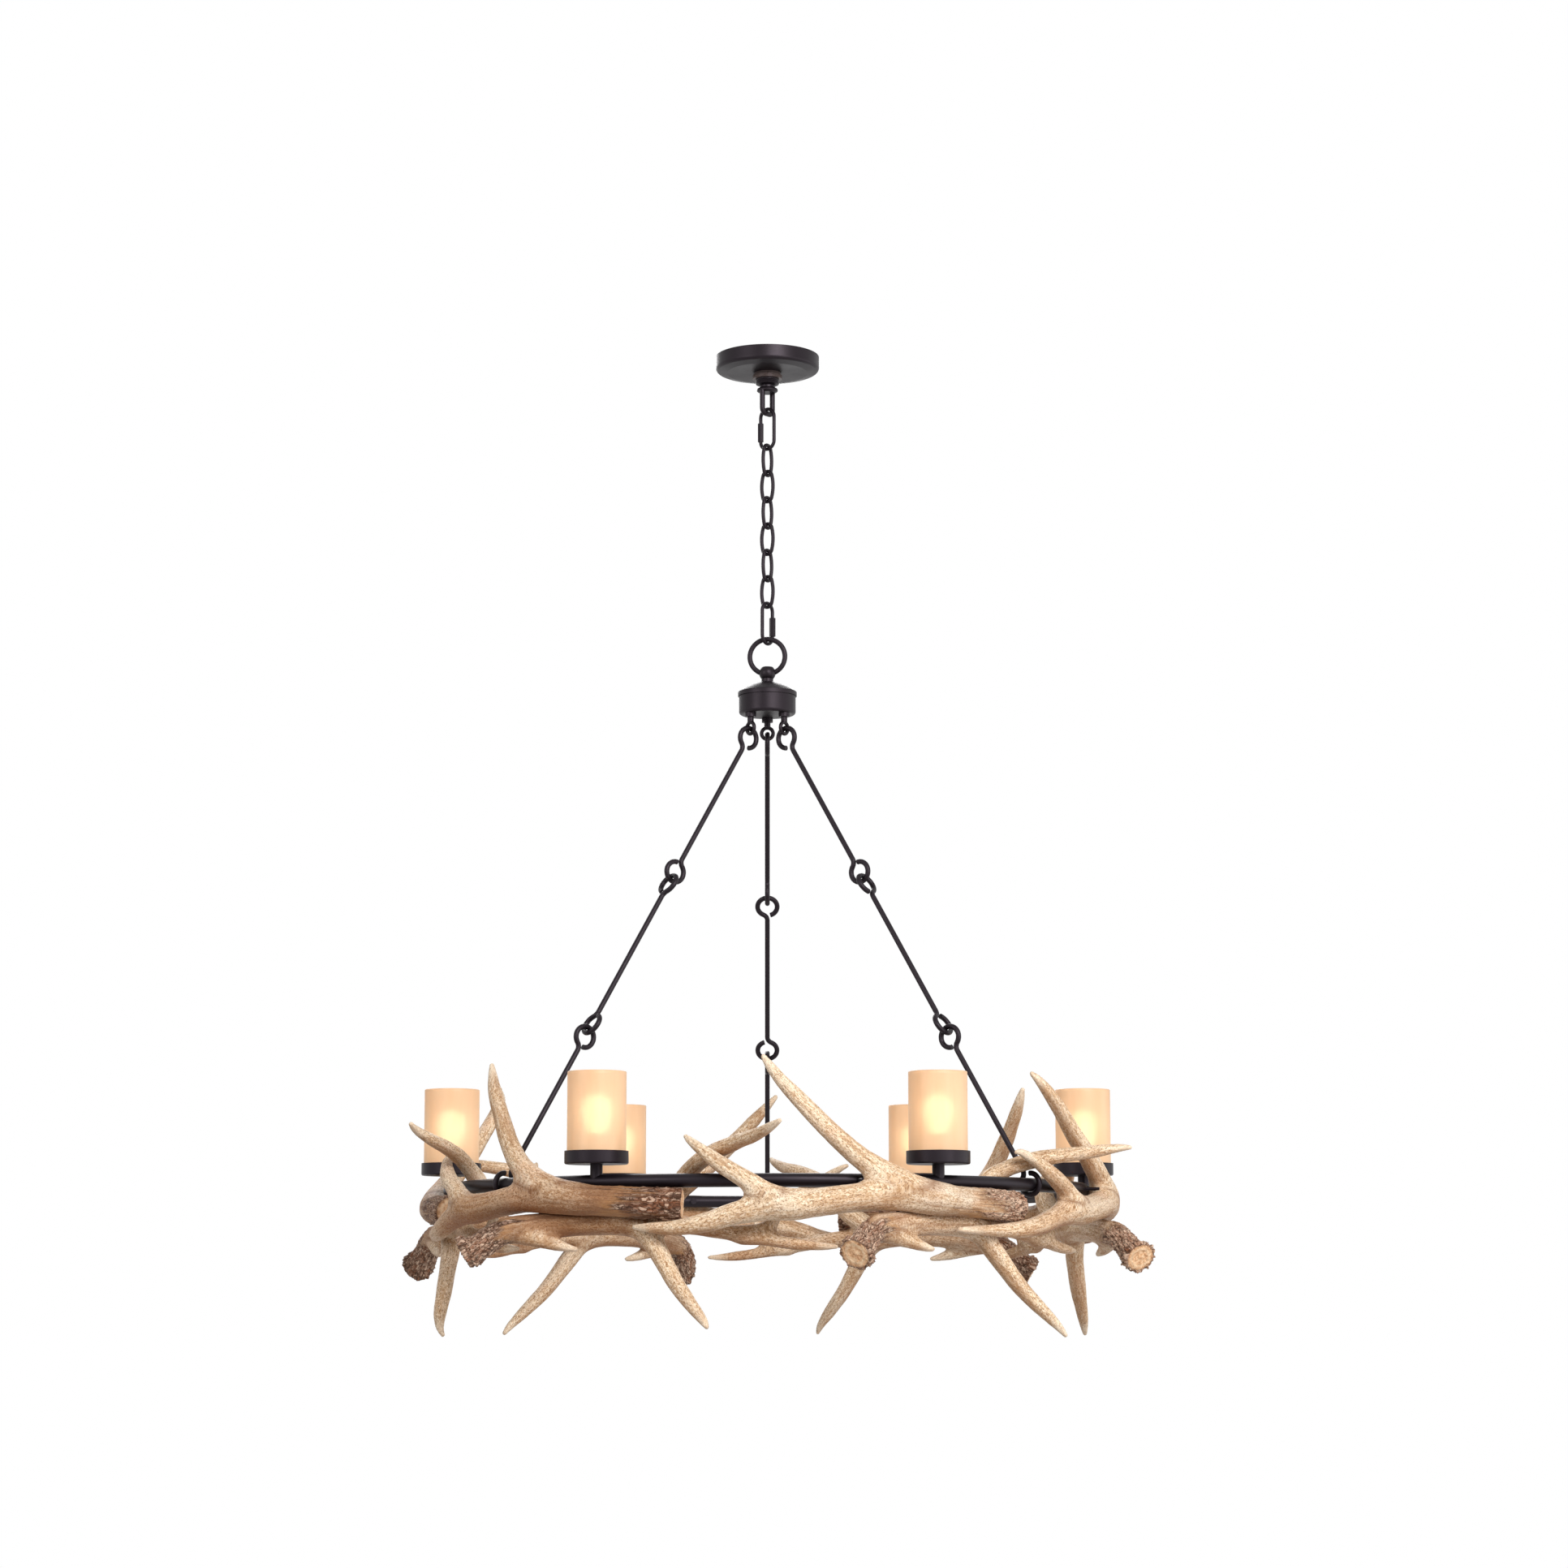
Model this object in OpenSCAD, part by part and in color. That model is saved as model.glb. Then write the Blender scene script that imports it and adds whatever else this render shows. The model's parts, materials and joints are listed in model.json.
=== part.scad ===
// Antler chandelier: a ceiling canopy, a short chain, a round hub, three strands of
// linked rods and a ring that carries six candle-style lights and twelve antlers.
// The origin is the middle of the ceiling face of the canopy, +Z is up.

/* [Ceiling fitting] */
// Diameter of the canopy
canopy_d = 133.35; // [124:0.05:180]
// Depth of the canopy below the ceiling
canopy_h = 21; // [20:0.5:30]
// Sheet thickness of the canopy, the hub body and the cups
sheet_t = 1.2; // [0.8:0.1:1.6]
// Length of the mounting bracket
bracket_l = 108; // [104:1:112]
// Width of the mounting bracket
bracket_w = 20; // [18:0.5:24]
// Thickness of the mounting bracket
bracket_t = 2.5; // [2:0.1:3]
// Centre spacing of the two bracket slots
slot_spacing = 78; // [74:1:80]
// Length of each bracket slot, end to end
slot_l = 20; // [16:1:22]
// Width of each bracket slot
slot_w = 5; // [4.5:0.1:6]
// Outer diameter of the threaded hanger tube
nipple_d = 10; // [9:0.1:11]
// Bore of the threaded hanger tube
nipple_bore = 6; // [5:0.1:7]
// Diameter of the threaded collar above the collar loop
collar_d = 30; // [29:0.5:34]
// Height of the nut that holds the canopy up
collar_nut_h = 8; // [6:0.5:9]
// Rim width of the nut that holds the canopy up
collar_nut_rim = 4; // [3:0.5:6]
// Length of the collar that shows below the canopy nut
collar_show = 18; // [17:0.5:22]
// Outer width of the collar loop
loop_w = 28; // [27:0.5:32]
// Outer height of the collar loop below its collar
loop_h = 31; // [28:0.5:36]
// Bar thickness of the collar loop
loop_bar = 6.8; // [6:0.1:7.4]

/* [Chain] */
// Wire thickness of a chain link
link_wire = 4.8; // [4.2:0.1:5.2]
// Inner length of a chain link
link_in = 34.8; // [31:0.1:40]
// Outer width of a chain link
link_w = 22.8; // [21.5:0.1:25]
// Wire thickness of a quick link
quick_wire = 4.6; // [4.2:0.1:5.2]
// Inner length of a quick link
quick_in = 48; // [46:0.5:56]
// Outer width of a quick link
quick_w = 26; // [25:0.5:30]
// Diameter of the threaded sleeve of a quick link
sleeve_d = 8; // [7.2:0.1:9]
// Length of the threaded sleeve of a quick link
sleeve_l = 24; // [20:0.5:25]
// Turn of the first chain link, measured from the left-right line
link_turn = 53; // [48:1:58]
// Play left where one wire hangs on another
wire_gap = 0.3; // [0.2:0.05:0.5]

/* [Hub] */
// Outer diameter of the hanging ring on the hub
hub_ring_d = 51.5; // [46:0.5:60]
// Wire thickness of the hanging ring on the hub
hub_ring_wire = 6.4; // [5.6:0.1:7]
// Turn of the hanging ring, measured from the left-right line
hub_ring_turn = -8; // [-10:1:0]
// Diameter of the ball that holds the hanging ring
ball_d = 21; // [19:0.5:24]
// Height of the ball that holds the hanging ring
ball_h = 15.8; // [14:0.1:17]
// Diameter of the neck under the ball
neck_d = 15; // [13:0.5:16]
// Height of the neck under the ball
neck_h = 3.5; // [2:0.1:6]
// Diameter of the hub lid
lid_d = 75; // [74:0.5:90]
// Rise of the domed lid above its rim
lid_rise = 12.5; // [8:0.5:18]
// Height of the rim of the lid
lid_rim_h = 6; // [4:0.5:8]
// Height of the hub body below the lid rim
hub_h = 24; // [20:0.5:34]
// Radius of the lower edge of the hub body
hub_edge = 4; // [3:0.5:6]
// Thickness of the load plate inside the hub
plate_t = 4; // [3:0.5:6]
// Distance of the hub eyes from the hub axis
eye_pitch_r = 27; // [25:0.5:28]
// Outer diameter of a hub eye
hub_eye_d = 19.5; // [18.5:0.5:22]
// Wire thickness of a hub eye
hub_eye_wire = 4.8; // [4:0.1:5]

/* [Strands] */
// Height of the fixture, from the top of the hub ring to the lowest antler tips
fixture_h = 882.65; // [800:0.05:960]
// Thickness of the strand rods
rod_d = 6.4; // [5.6:0.1:6.8]
// Outer diameter of the eyes and hooks of the strand rods
eye_d = 32; // [31:0.5:36]
// Angle of the two side strands, measured from the front
strand_turn = 52; // [51:1:54]

/* [Ring and lights] */
// Radius of the ring, to the middle of its tube
ring_r = 395; // [385:1:410]
// Diameter of the ring tube
tube_d = 16; // [15:0.5:17]
// Wall of the ring tube
tube_wall = 1.5; // [1:0.1:2]
// Diameter of the short stem under each cup
stem_d = 14.4; // [13:0.1:16]
// Height of the stem above the ring tube
stem_h = 12; // [9:0.5:16]
// Outer diameter of a cup
cup_d = 74.4; // [72:0.2:80]
// Height of a cup
cup_h = 15.3; // [12:0.1:20]
// Outer diameter of a glass shade
shade_d = 68.6; // [66:0.2:69.4]
// Height of a glass shade
shade_h = 106; // [95:1:125]
// Wall of a glass shade
shade_wall = 3; // [2:0.1:4]
// Diameter of a lamp socket
socket_d = 28; // [25:0.5:32]
// Height of a lamp socket
socket_h = 34; // [30:0.5:38]
// Diameter of a lamp bulb
bulb_d = 35; // [33:0.5:40]
// Height of the glass of a lamp bulb above its socket
bulb_h = 46; // [40:0.5:54]

/* [Antlers] */
// Beam diameter of an upper antler
upper_beam = 33; // [30:0.5:34]
// Beam diameter of a lower antler
lower_beam = 29; // [26:0.5:30]
// Drop of the lowest antler tips below the middle of the ring
tine_drop = 178; // [170:1:190]
// Rise of the tallest antler tips above the middle of the ring
tine_rise = 141; // [125:1:150]
// Play left where an antler rests on the ring or on another antler
seat_gap = 0.3; // [0.2:0.1:0.6]
// Diameter of the antler screws
screw_d = 4; // [3:0.1:4.5]

/* [Hidden] */

$fn = 48;
metal = [0.16, 0.14, 0.14];
steel = [0.62, 0.62, 0.60];
horn = [0.80, 0.66, 0.50];
pearl = [0.98, 0.94, 0.84];
amber = [0.96, 0.80, 0.56];

// Small clearances and details shared by several pieces
thread_play = 0.05;
hole_play = 0.2;
bracket_drop = 6;
nut_h = 3.5;
nut_flats = 1.8;
eye_stud_d = 5;
eye_collar_d = 14.2;
eye_collar_h = 5.2;
eye_neck_d = 8;
eye_neck_h = 4.6;
side_screw_turn = 15;
seat_turn = 21;
screw_head_h = 2.6;
light_turns = [-30, 30, 90, 150, 210, 270];
link_count = 6;
antler_count = 6;
// Where a wire is drawn to a bend it is this much thinner, and runs on into its neighbour
drawn = 0.98;
lower_start = 12;

// Heights down the hanger and the chain, from the ceiling at zero
collar_top = 4 - canopy_h;
collar_bottom = -canopy_h - collar_nut_h - collar_show;
loop_seat = collar_bottom - loop_h + loop_bar;
upper_quick_top = loop_seat + wire_gap;
upper_quick_seat = upper_quick_top - quick_in;
link_pitch = link_in - wire_gap;
lower_quick_top = upper_quick_seat + wire_gap - link_count * link_pitch;
lower_quick_seat = lower_quick_top - quick_in;
hub_ring_z = lower_quick_seat + wire_gap + hub_ring_wire - hub_ring_d / 2;

// Heights down the hub
ball_z = hub_ring_z - (hub_ring_d - hub_ring_wire) / 2 + 1;
neck_top = ball_z - ball_h / 2;
lid_top = neck_top - neck_h;
rim_top = lid_top - lid_rise;
rim_bottom = rim_top - lid_rim_h;
hub_under = rim_bottom - hub_h;
body_r = lid_d / 2 - sheet_t - hole_play;
plate_top = hub_under + sheet_t + plate_t;
eye_r = (hub_eye_d - hub_eye_wire) / 2;
eye_z = hub_under - eye_collar_h - eye_neck_h - hub_eye_d / 2;

// The middle of the ring, and the heights of what stands on it
ring_z = hub_ring_z + hub_ring_d / 2 - fixture_h + tine_drop;
cup_floor = tube_d / 2 + stem_h;
seat_floor = cup_floor + sheet_t;

// The line of a strand, from the wire of its hub eye to the middle of the ring tube
strand_x = ring_r - eye_pitch_r;
strand_z = eye_z - eye_r - ring_z;
strand_lean = atan2(strand_x, strand_z);
hook_r = (eye_d - rod_d) / 2;
hook_bore = hook_r - rod_d / 2;
top_shift = hook_bore - hub_eye_wire / 2 - wire_gap;
ring_shift = hook_bore - tube_d / 2 - wire_gap;
eye_step = 2 * hook_r - rod_d - wire_gap;
strand_span = norm([strand_x, strand_z]) - top_shift - ring_shift;
rod_span = (strand_span - 2 * eye_step) / 3;

// Puts things at the middle of the ring
module at_ring() {
    translate([0, 0, ring_z])
        children();
}

// Turns the +X direction to an angle measured from the front towards the right
module facing(turn) {
    rotate([0, 0, turn - 90])
        children();
}

// Points of an arc, for outlines
function arc(x, y, r, from, to, steps = 6) =
    [for (i = [0 : steps])
        let (a = from + (to - from) * i / steps)
        [x + r * cos(a), y + r * sin(a)]];

// A round bar along +Z from the origin
module bar(d, h) {
    cylinder(d = d, h = h);
}

// A bent round bar in the XZ plane, centred on the origin
module bend(r, d, from, to) {
    rotate([90, 0, 0])
        rotate([0, 0, from])
            rotate_extrude(angle = to - from)
                translate([r, 0])
                    circle(d = d, $fn = 24);
}

// A round wire ring in the XZ plane
module wire_ring(d, wire) {
    rotate([90, 0, 0])
        rotate_extrude()
            translate([(d - wire) / 2, 0])
                circle(d = wire, $fn = 24);
}

// A hex nut with a round bore, standing on the XY plane
module hex_nut(bore, h) {
    difference() {
        cylinder(d = bore * nut_flats, h = h, $fn = 6);
        translate([0, 0, -1])
            cylinder(d = bore, h = h + 2);
    }
}

// A flat bar with round ends along X, as an outline
module slot_outline(length, width) {
    square([length - width, width], center = true);
    for (side = [-1, 1])
        translate([side * (length - width) / 2, 0])
            circle(d = width);
}

// Offset strap that is screwed to the ceiling box; its middle hangs lower for the tube
module mounting_bracket() {
    mid_w = nipple_d * 2.6;
    color(steel)
        difference() {
            rotate([90, 0, 0])
                translate([0, 0, -bracket_w / 2])
                    linear_extrude(bracket_w)
                        bracket_outline(mid_w);
            for (side = [-1, 1])
                translate([side * slot_spacing / 2, 0, -bracket_t - 1])
                    linear_extrude(bracket_t + 2)
                        slot_outline(slot_l, slot_w);
            translate([0, 0, -bracket_drop - bracket_t - 1])
                cylinder(d = nipple_d + 2 * thread_play, h = bracket_t + 2);
        }
}

// Side view of the mounting bracket
module bracket_outline(mid_w) {
    half = bracket_l / 2;
    step = bracket_drop;
    right = [[half, 0], [half, -bracket_t], [mid_w / 2 + step, -bracket_t],
        [mid_w / 2 + bracket_t / 2, -bracket_drop - bracket_t]];
    inner = [[mid_w / 2, -bracket_drop], [mid_w / 2 + step - bracket_t / 2, 0]];
    polygon(concat(right,
        [for (i = [3 : -1 : 0]) [-right[i][0], right[i][1]]],
        [for (i = [1 : -1 : 0]) [-inner[i][0], inner[i][1]]],
        inner));
}

// Threaded tube that joins the bracket and the collar loop
module hanger_tube() {
    top = -bracket_drop + nut_h + 1;
    bottom = collar_bottom + 8;
    color(steel)
        translate([0, 0, bottom])
            difference() {
                bar(nipple_d, top - bottom);
                translate([0, 0, -1])
                    bar(nipple_bore, top - bottom + 2);
            }
}

// The two nuts that lock the hanger tube to the bracket
module hanger_nuts() {
    color(steel)
        for (z = [-bracket_drop, -bracket_drop - bracket_t - nut_h])
            translate([0, 0, z])
                hex_nut(nipple_d + 2 * thread_play, nut_h);
}

// Round pan that covers the ceiling box
module canopy() {
    r = canopy_d / 2;
    edge = 5;
    lip = 2;
    hole = collar_d / 2 + hole_play;
    color(metal)
        rotate_extrude($fn = 96)
            polygon(concat(
                [[r, 0]],
                arc(r - edge, -canopy_h + edge + lip, edge, 0, -70),
                [[r - 3 * edge, -canopy_h], [hole, -canopy_h],
                    [hole, -canopy_h + sheet_t], [r - 3 * edge, -canopy_h + sheet_t]],
                arc(r - edge, -canopy_h + edge + lip, edge - sheet_t, -70, 0),
                [[r - sheet_t, 0]]));
}

// Side view of the collar: thread, taper, neck and bead, from its lower end upwards
function collar_profile(core) =
    let (r = collar_d / 2, neck = r - 5, bead = r - 1.4, foot = collar_bottom)
    concat(
        [[0, foot], [neck, foot]],
        arc(bead - 2.4, foot + 3.4, 2.4, -80, 80),
        [[neck, foot + 6.6], [neck, foot + 9], [r - 2, foot + 10.4]],
        [for (i = [0 : 3])
            for (p = [[r - 0.5, foot + 11 + 1.6 * i], [r, foot + 11.8 + 1.6 * i]])
                p],
        [[r, collar_top], [core, collar_top], [core, foot + 7], [0, foot + 7]]);

// Cast loop under a threaded collar, with a neck and a bead between them
module collar_loop() {
    side = (loop_w - loop_bar) / 2;
    corner = loop_bar;
    bend_z = collar_bottom - loop_h + loop_bar / 2 + corner;
    color(metal)
        rotate([0, 0, link_turn]) {
            rotate_extrude()
                polygon(collar_profile(nipple_d / 2 + thread_play));
            for (turn = [0, 180])
                rotate([0, 0, turn]) {
                    translate([side, 0, bend_z - 0.5])
                        bar(loop_bar, collar_bottom - bend_z + 3.9);
                    translate([side - corner, 0, bend_z])
                        bend(corner, loop_bar * drawn, -90, 0.6);
                }
            translate([-(side - corner) - 0.1, 0, bend_z - corner])
                rotate([0, 90, 0])
                    bar(loop_bar, 2 * (side - corner) + 0.2);
        }
}

// Ring nut that runs on the collar and holds the canopy against the ceiling
module collar_nut() {
    color(metal)
        translate([0, 0, -canopy_h - collar_nut_h])
            difference() {
                union() {
                    cylinder(d = collar_d + 2 * collar_nut_rim, h = collar_nut_h * 0.6);
                    cylinder(d = collar_d + collar_nut_rim, h = collar_nut_h);
                }
                translate([0, 0, -1])
                    cylinder(d = collar_d + hole_play, h = collar_nut_h + 2);
            }
}

// Straight length of a quick link between its bends
function quick_leg() = quick_in + quick_wire - (quick_w - quick_wire);

// Height of the sleeve's middle below the middle of its quick link
function sleeve_drop() = (quick_leg() - sleeve_l) / 2 - 0.2;

// Long link with an open leg, hanging from the height of its inner top
module quick_link(top, turn, side) {
    r = (quick_w - quick_wire) / 2;
    leg = quick_leg();
    color(metal)
        translate([0, 0, top - quick_in / 2])
            rotate([0, 0, turn])
                difference() {
                    union() {
                        translate([0, 0, leg / 2])
                            bend(r, quick_wire, 0, 180);
                        translate([0, 0, -leg / 2])
                            bend(r, quick_wire, 180, 360);
                        for (x = [-r, r])
                            translate([x, 0, -leg / 2])
                                bar(quick_wire, leg);
                    }
                    translate([side * r, 0, -leg / 2 + 2.8])
                        cube([quick_wire * 2, quick_wire * 2, 4.5], center = true);
                }
}

// Threaded sleeve that closes the open leg of a quick link
module link_sleeve(top, turn, side) {
    r = (quick_w - quick_wire) / 2;
    color(metal)
        translate([0, 0, top - quick_in / 2 - sleeve_drop() - sleeve_l / 2])
            rotate([0, 0, turn])
                translate([side * r, 0, 0])
                    difference() {
                        cylinder(d = sleeve_d, h = sleeve_l, $fn = 6);
                        translate([0, 0, -1])
                            bar(quick_wire + 2 * hole_play, sleeve_l + 2);
                    }
}

// Oval link made of two end arcs and two long side arcs
module chain_link(index) {
    half_l = (link_in + link_wire) / 2;
    half_w = (link_w - link_wire) / 2;
    end_r = half_w * 0.8;
    rise = half_l - end_r;
    side_r = (half_w * half_w + rise * rise - end_r * end_r) / (2 * (half_w - end_r));
    swing = asin(rise / (side_r - end_r));
    top = upper_quick_seat + wire_gap - (index - 1) * link_pitch;
    turn = link_turn - 90 * ((index + 1) % 2);
    color(metal)
        translate([0, 0, top - link_in / 2])
            rotate([0, 0, turn]) {
                translate([0, 0, rise])
                    bend(end_r, link_wire, swing, 180 - swing);
                translate([0, 0, -rise])
                    bend(end_r, link_wire, 180 + swing, 360 - swing);
                translate([half_w - side_r, 0, 0])
                    bend(side_r, link_wire * drawn, -swing - 0.6, swing + 0.6);
                translate([side_r - half_w, 0, 0])
                    bend(side_r, link_wire * drawn, 179.4 - swing, 180.6 + swing);
            }
}

// Hanging ring cast in one with the flattened ball and the neck under it
module hub_loop() {
    color(metal) {
        translate([0, 0, hub_ring_z])
            rotate([0, 0, hub_ring_turn])
                wire_ring(hub_ring_d, hub_ring_wire);
        difference() {
            union() {
                intersection() {
                    translate([0, 0, ball_z])
                        sphere(d = ball_d);
                    translate([0, 0, neck_top])
                        cylinder(d = ball_d + 1, h = ball_h);
                }
                translate([0, 0, lid_top])
                    cylinder(d = neck_d, h = neck_h + 1);
            }
            translate([0, 0, lid_top - 1])
                cylinder(d = nipple_d + 2 * thread_play, h = neck_h + 2);
        }
    }
}

// Domed lid whose rim drops over the hub body
module hub_lid() {
    r = lid_d / 2;
    flat = neck_d / 2 + 1;
    hole = nipple_d / 2 + hole_play;
    slope = [for (i = [1 : 8])
        let (u = i / 8)
        [flat + (r - 2 - flat) * u, rim_top + lid_rise * (1 - u) * (1 + 0.45 * u)]];
    color(metal)
        rotate_extrude($fn = 96)
            polygon(concat(
                [[hole, lid_top], [flat, lid_top]],
                slope,
                arc(r - 1.5, rim_top - 1.5, 1.5, 90, 0, 3),
                [[r, rim_bottom], [r - sheet_t, rim_bottom],
                    [r - sheet_t, rim_top - 1.5 - sheet_t]],
                [for (i = [7 : -1 : 0]) [slope[i][0] - 0.6, slope[i][1] - sheet_t * 1.4]],
                [[hole, lid_top - sheet_t * 1.4]]));
}

// Deep round cup of the hub, closed below
module hub_body() {
    top = rim_top - 1.5 - sheet_t - hole_play;
    color(metal)
        difference() {
            rotate_extrude($fn = 96)
                polygon(concat(
                    [[0, hub_under], [body_r - hub_edge, hub_under]],
                    arc(body_r - hub_edge, hub_under + hub_edge, hub_edge, -90, 0),
                    [[body_r, top], [body_r - sheet_t, top]],
                    arc(body_r - hub_edge, hub_under + hub_edge, hub_edge - sheet_t, 0, -90),
                    [[0, hub_under + sheet_t]]));
            at_hub_eyes()
                translate([0, 0, hub_under - 1])
                    cylinder(d = eye_stud_d + hole_play, h = sheet_t + 2);
        }
}

// Puts things at the places of the three hub eyes, with +X away from the axis
module at_hub_eyes() {
    for (turn = [-strand_turn, strand_turn, 180])
        facing(turn)
            translate([eye_pitch_r, 0, 0])
                children();
}

// Thick plate inside the hub that carries the three eyes
module hub_plate() {
    color(steel)
        difference() {
            translate([0, 0, hub_under + sheet_t])
                cylinder(r = body_r - hub_edge, h = plate_t);
            translate([0, 0, hub_under])
                cylinder(d = nipple_d + 2 * thread_play, h = sheet_t + plate_t + 1);
            at_hub_eyes()
                translate([0, 0, hub_under])
                    cylinder(d = eye_stud_d + hole_play, h = sheet_t + plate_t + 1);
        }
}

// Threaded tube that ties the hub loop, the lid and the load plate together
module hub_rod() {
    color(steel)
        translate([0, 0, hub_under + sheet_t])
            difference() {
                bar(nipple_d, lid_top + neck_h - 0.2 - hub_under - sheet_t);
                translate([0, 0, -1])
                    bar(nipple_bore, lid_top + neck_h - hub_under);
            }
}

// Lock nut on the load plate and the nuts of the three eyes
module hub_nuts() {
    color(steel)
        translate([0, 0, plate_top]) {
            hex_nut(nipple_d + 2 * thread_play, nut_h);
            at_hub_eyes()
                hex_nut(eye_stud_d + 2 * thread_play, nut_h);
        }
}

// Three eyes with collars, each with its stud up through the load plate
module hub_eyes() {
    color(metal)
        at_hub_eyes() {
            translate([0, 0, hub_under - eye_collar_h])
                cylinder(d = eye_collar_d, h = eye_collar_h);
            translate([0, 0, hub_under - 1])
                cylinder(d = eye_stud_d, h = sheet_t + plate_t + nut_h + 2);
            translate([0, 0, eye_z + eye_r])
                cylinder(d = eye_neck_d, h = hub_under - eye_collar_h - eye_z - eye_r + 1);
            translate([0, 0, eye_z])
                rotate([0, 0, 90])
                    wire_ring(hub_eye_d, hub_eye_wire);
        }
}

// Radius of the small bend where a rod turns into its eye, and the height of that bend
kink_r = rod_d * 1.4;
kink_z = sqrt((hook_r + kink_r) * (hook_r + kink_r) - kink_r * kink_r);
kink_turn = atan2(kink_z, kink_r);

// Upper end of a rod: the shank, its kink and an eye or hook centred on the origin
module rod_end(tip) {
    bend(hook_r, rod_d, -kink_turn, tip);
    translate([kink_r, 0, -kink_z])
        bend(kink_r, rod_d * drawn, 178 - kink_turn, 182);
}

// A rod that hangs from the origin, with its eyes or hooks centred rod_span apart
module rod(top_tip, bottom_tip) {
    color(metal) {
        rod_end(top_tip);
        translate([0, 0, -rod_span])
            rotate([0, 180, 0])
                rod_end(bottom_tip);
        translate([0, 0, kink_z - rod_span])
            bar(rod_d, rod_span - 2 * kink_z);
    }
}

// Tip angles of the open hook at the hub, of a closed eye and of the ring hook
hook_tip = 236;
eye_tip = 252;
ring_tip = 240;

// One of the three rods of a strand; the middle rod is a quarter turn from the others
module strand_rod(turn, place) {
    start = top_shift + place * (rod_span + eye_step);
    facing(turn)
        translate([eye_pitch_r, 0, eye_z - eye_r])
            rotate([0, -strand_lean, 0])
                translate([0, 0, -start])
                    rotate([0, 0, place == 1 ? 90 : 0])
                        rod(place == 0 ? hook_tip : eye_tip, place == 2 ? ring_tip : eye_tip);
}

// Round tube bent into the ring, with a welded stem for each light
module ring() {
    color(metal)
        at_ring()
            difference() {
                union() {
                    rotate_extrude($fn = 144)
                        translate([ring_r, 0])
                            circle(d = tube_d, $fn = 32);
                    at_lights()
                        cylinder(d = stem_d, h = cup_floor);
                }
                rotate_extrude($fn = 144)
                    translate([ring_r, 0])
                        circle(d = tube_d - 2 * tube_wall, $fn = 32);
                at_lights()
                    cylinder(d = nipple_d + 2 * thread_play, h = cup_floor + 1);
                side_screw_holes(screw_d + 2 * hole_play);
            }
}

// Puts things at the places of the six lights
module at_lights() {
    for (turn = light_turns)
        facing(turn)
            translate([ring_r, 0, 0])
                children();
}

// Puts things at the place of one light, numbered from one
module at_light(number) {
    at_ring()
        facing(light_turns[number - 1])
            translate([ring_r, 0, 0])
                children();
}

// Shallow metal cup that carries a shade
module cup(number) {
    r = cup_d / 2;
    edge = 2;
    color(metal)
        at_light(number)
            translate([0, 0, cup_floor])
                rotate_extrude($fn = 64)
                    polygon(concat(
                        [[nipple_d / 2 + hole_play, 0], [r - edge, 0]],
                        arc(r - edge, edge, edge, -90, 0, 3),
                        [[r, cup_h], [r - sheet_t, cup_h], [r - sheet_t, sheet_t],
                            [nipple_d / 2 + hole_play, sheet_t]]));
}

// Six lamp sockets, each with a threaded tail down into its stem
module lamp_sockets() {
    color(pearl)
        at_ring()
            at_lights()
                difference() {
                    union() {
                        translate([0, 0, seat_floor])
                            cylinder(d = socket_d, h = socket_h);
                        translate([0, 0, cup_floor - stem_h])
                            cylinder(d = nipple_d, h = stem_h + sheet_t + 1);
                    }
                    translate([0, 0, seat_floor + 6])
                        cylinder(d = socket_d * 0.6, h = socket_h);
                }
}

// Six pear-shaped bulbs, each with its screw base down in the socket
module lamp_bulbs() {
    base_r = socket_d * 0.3 - hole_play;
    globe_r = bulb_d / 2;
    color(pearl)
        at_ring()
            at_lights()
                translate([0, 0, seat_floor + socket_h])
                    rotate_extrude()
                        polygon(concat(
                            [[0, 7.2 - socket_h], [base_r * 0.6, 7.2 - socket_h],
                                [base_r, 10 - socket_h], [base_r, 0]],
                            [for (i = [1 : 4])
                                let (u = i / 5)
                                [base_r + (globe_r - base_r) * sin(90 * u),
                                    (bulb_h - globe_r) * u]],
                            arc(0, bulb_h - globe_r, globe_r, 0, 80, 7),
                            [[0, bulb_h]]));
}

// Open glass cylinder that stands in its cup
module shade(number) {
    color(amber)
        at_light(number)
            translate([0, 0, seat_floor])
                difference() {
                    cylinder(d = shade_d, h = shade_h, $fn = 64);
                    translate([0, 0, -1])
                        cylinder(d = shade_d - 2 * shade_wall, h = shade_h + 2, $fn = 64);
                }
}

// Antler paths. Each point is [angle from the front, distance out from the middle of
// the ring tube, height above the middle of the ring, thickness as a radius].
upper_r = upper_beam / 2;
lower_r = lower_beam / 2;
out = (tube_d + upper_beam) / 2 + seat_gap;
under = 30.7 - upper_r - lower_r - seat_gap;
rise = tine_rise / 141;
drop = tine_drop / 178;

upper_main = [
    [46, out - 17.8, -28, 1.18], [43, out - 14, -27, 1.1], [38, out - 8, -25, 1.07],
    [28, out - 2.8, -21, 1.03], [20, out - 0.8, -18.5, 1], [15, out - 0.4, -20, 1],
    [6, out - 2.3, -27.5, 0.97], [0, out - 3.4, -31, 0.93], [-5, out - 3.2, -38, 0.78],
    [-10, out - 1.8, -48.5, 0.67], [-15, out - 2.6, -53.5, 0.54],
    [-19.5, out - 4.6, -53.5, 0.4], [-23.5, out - 6.8, -52, 0.18]];
upper_long = [
    [29, out - 2.6, -19.5, 0.8], [24.3, out - 0.8, -11, 0.93], [20.6, out - 0.8, 0, 0.94],
    [16.5, out - 4.5, 17 * rise, 0.8], [12.8, out - 12, 38.5 * rise, 0.69],
    [8.5, out - 21.8, 68 * rise, 0.62], [3.6, out - 31, 104 * rise, 0.51],
    [0.8, out - 36.6, 126 * rise, 0.37], [-0.7, out - 39.8, 139.5 * rise, 0.13]];
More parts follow.
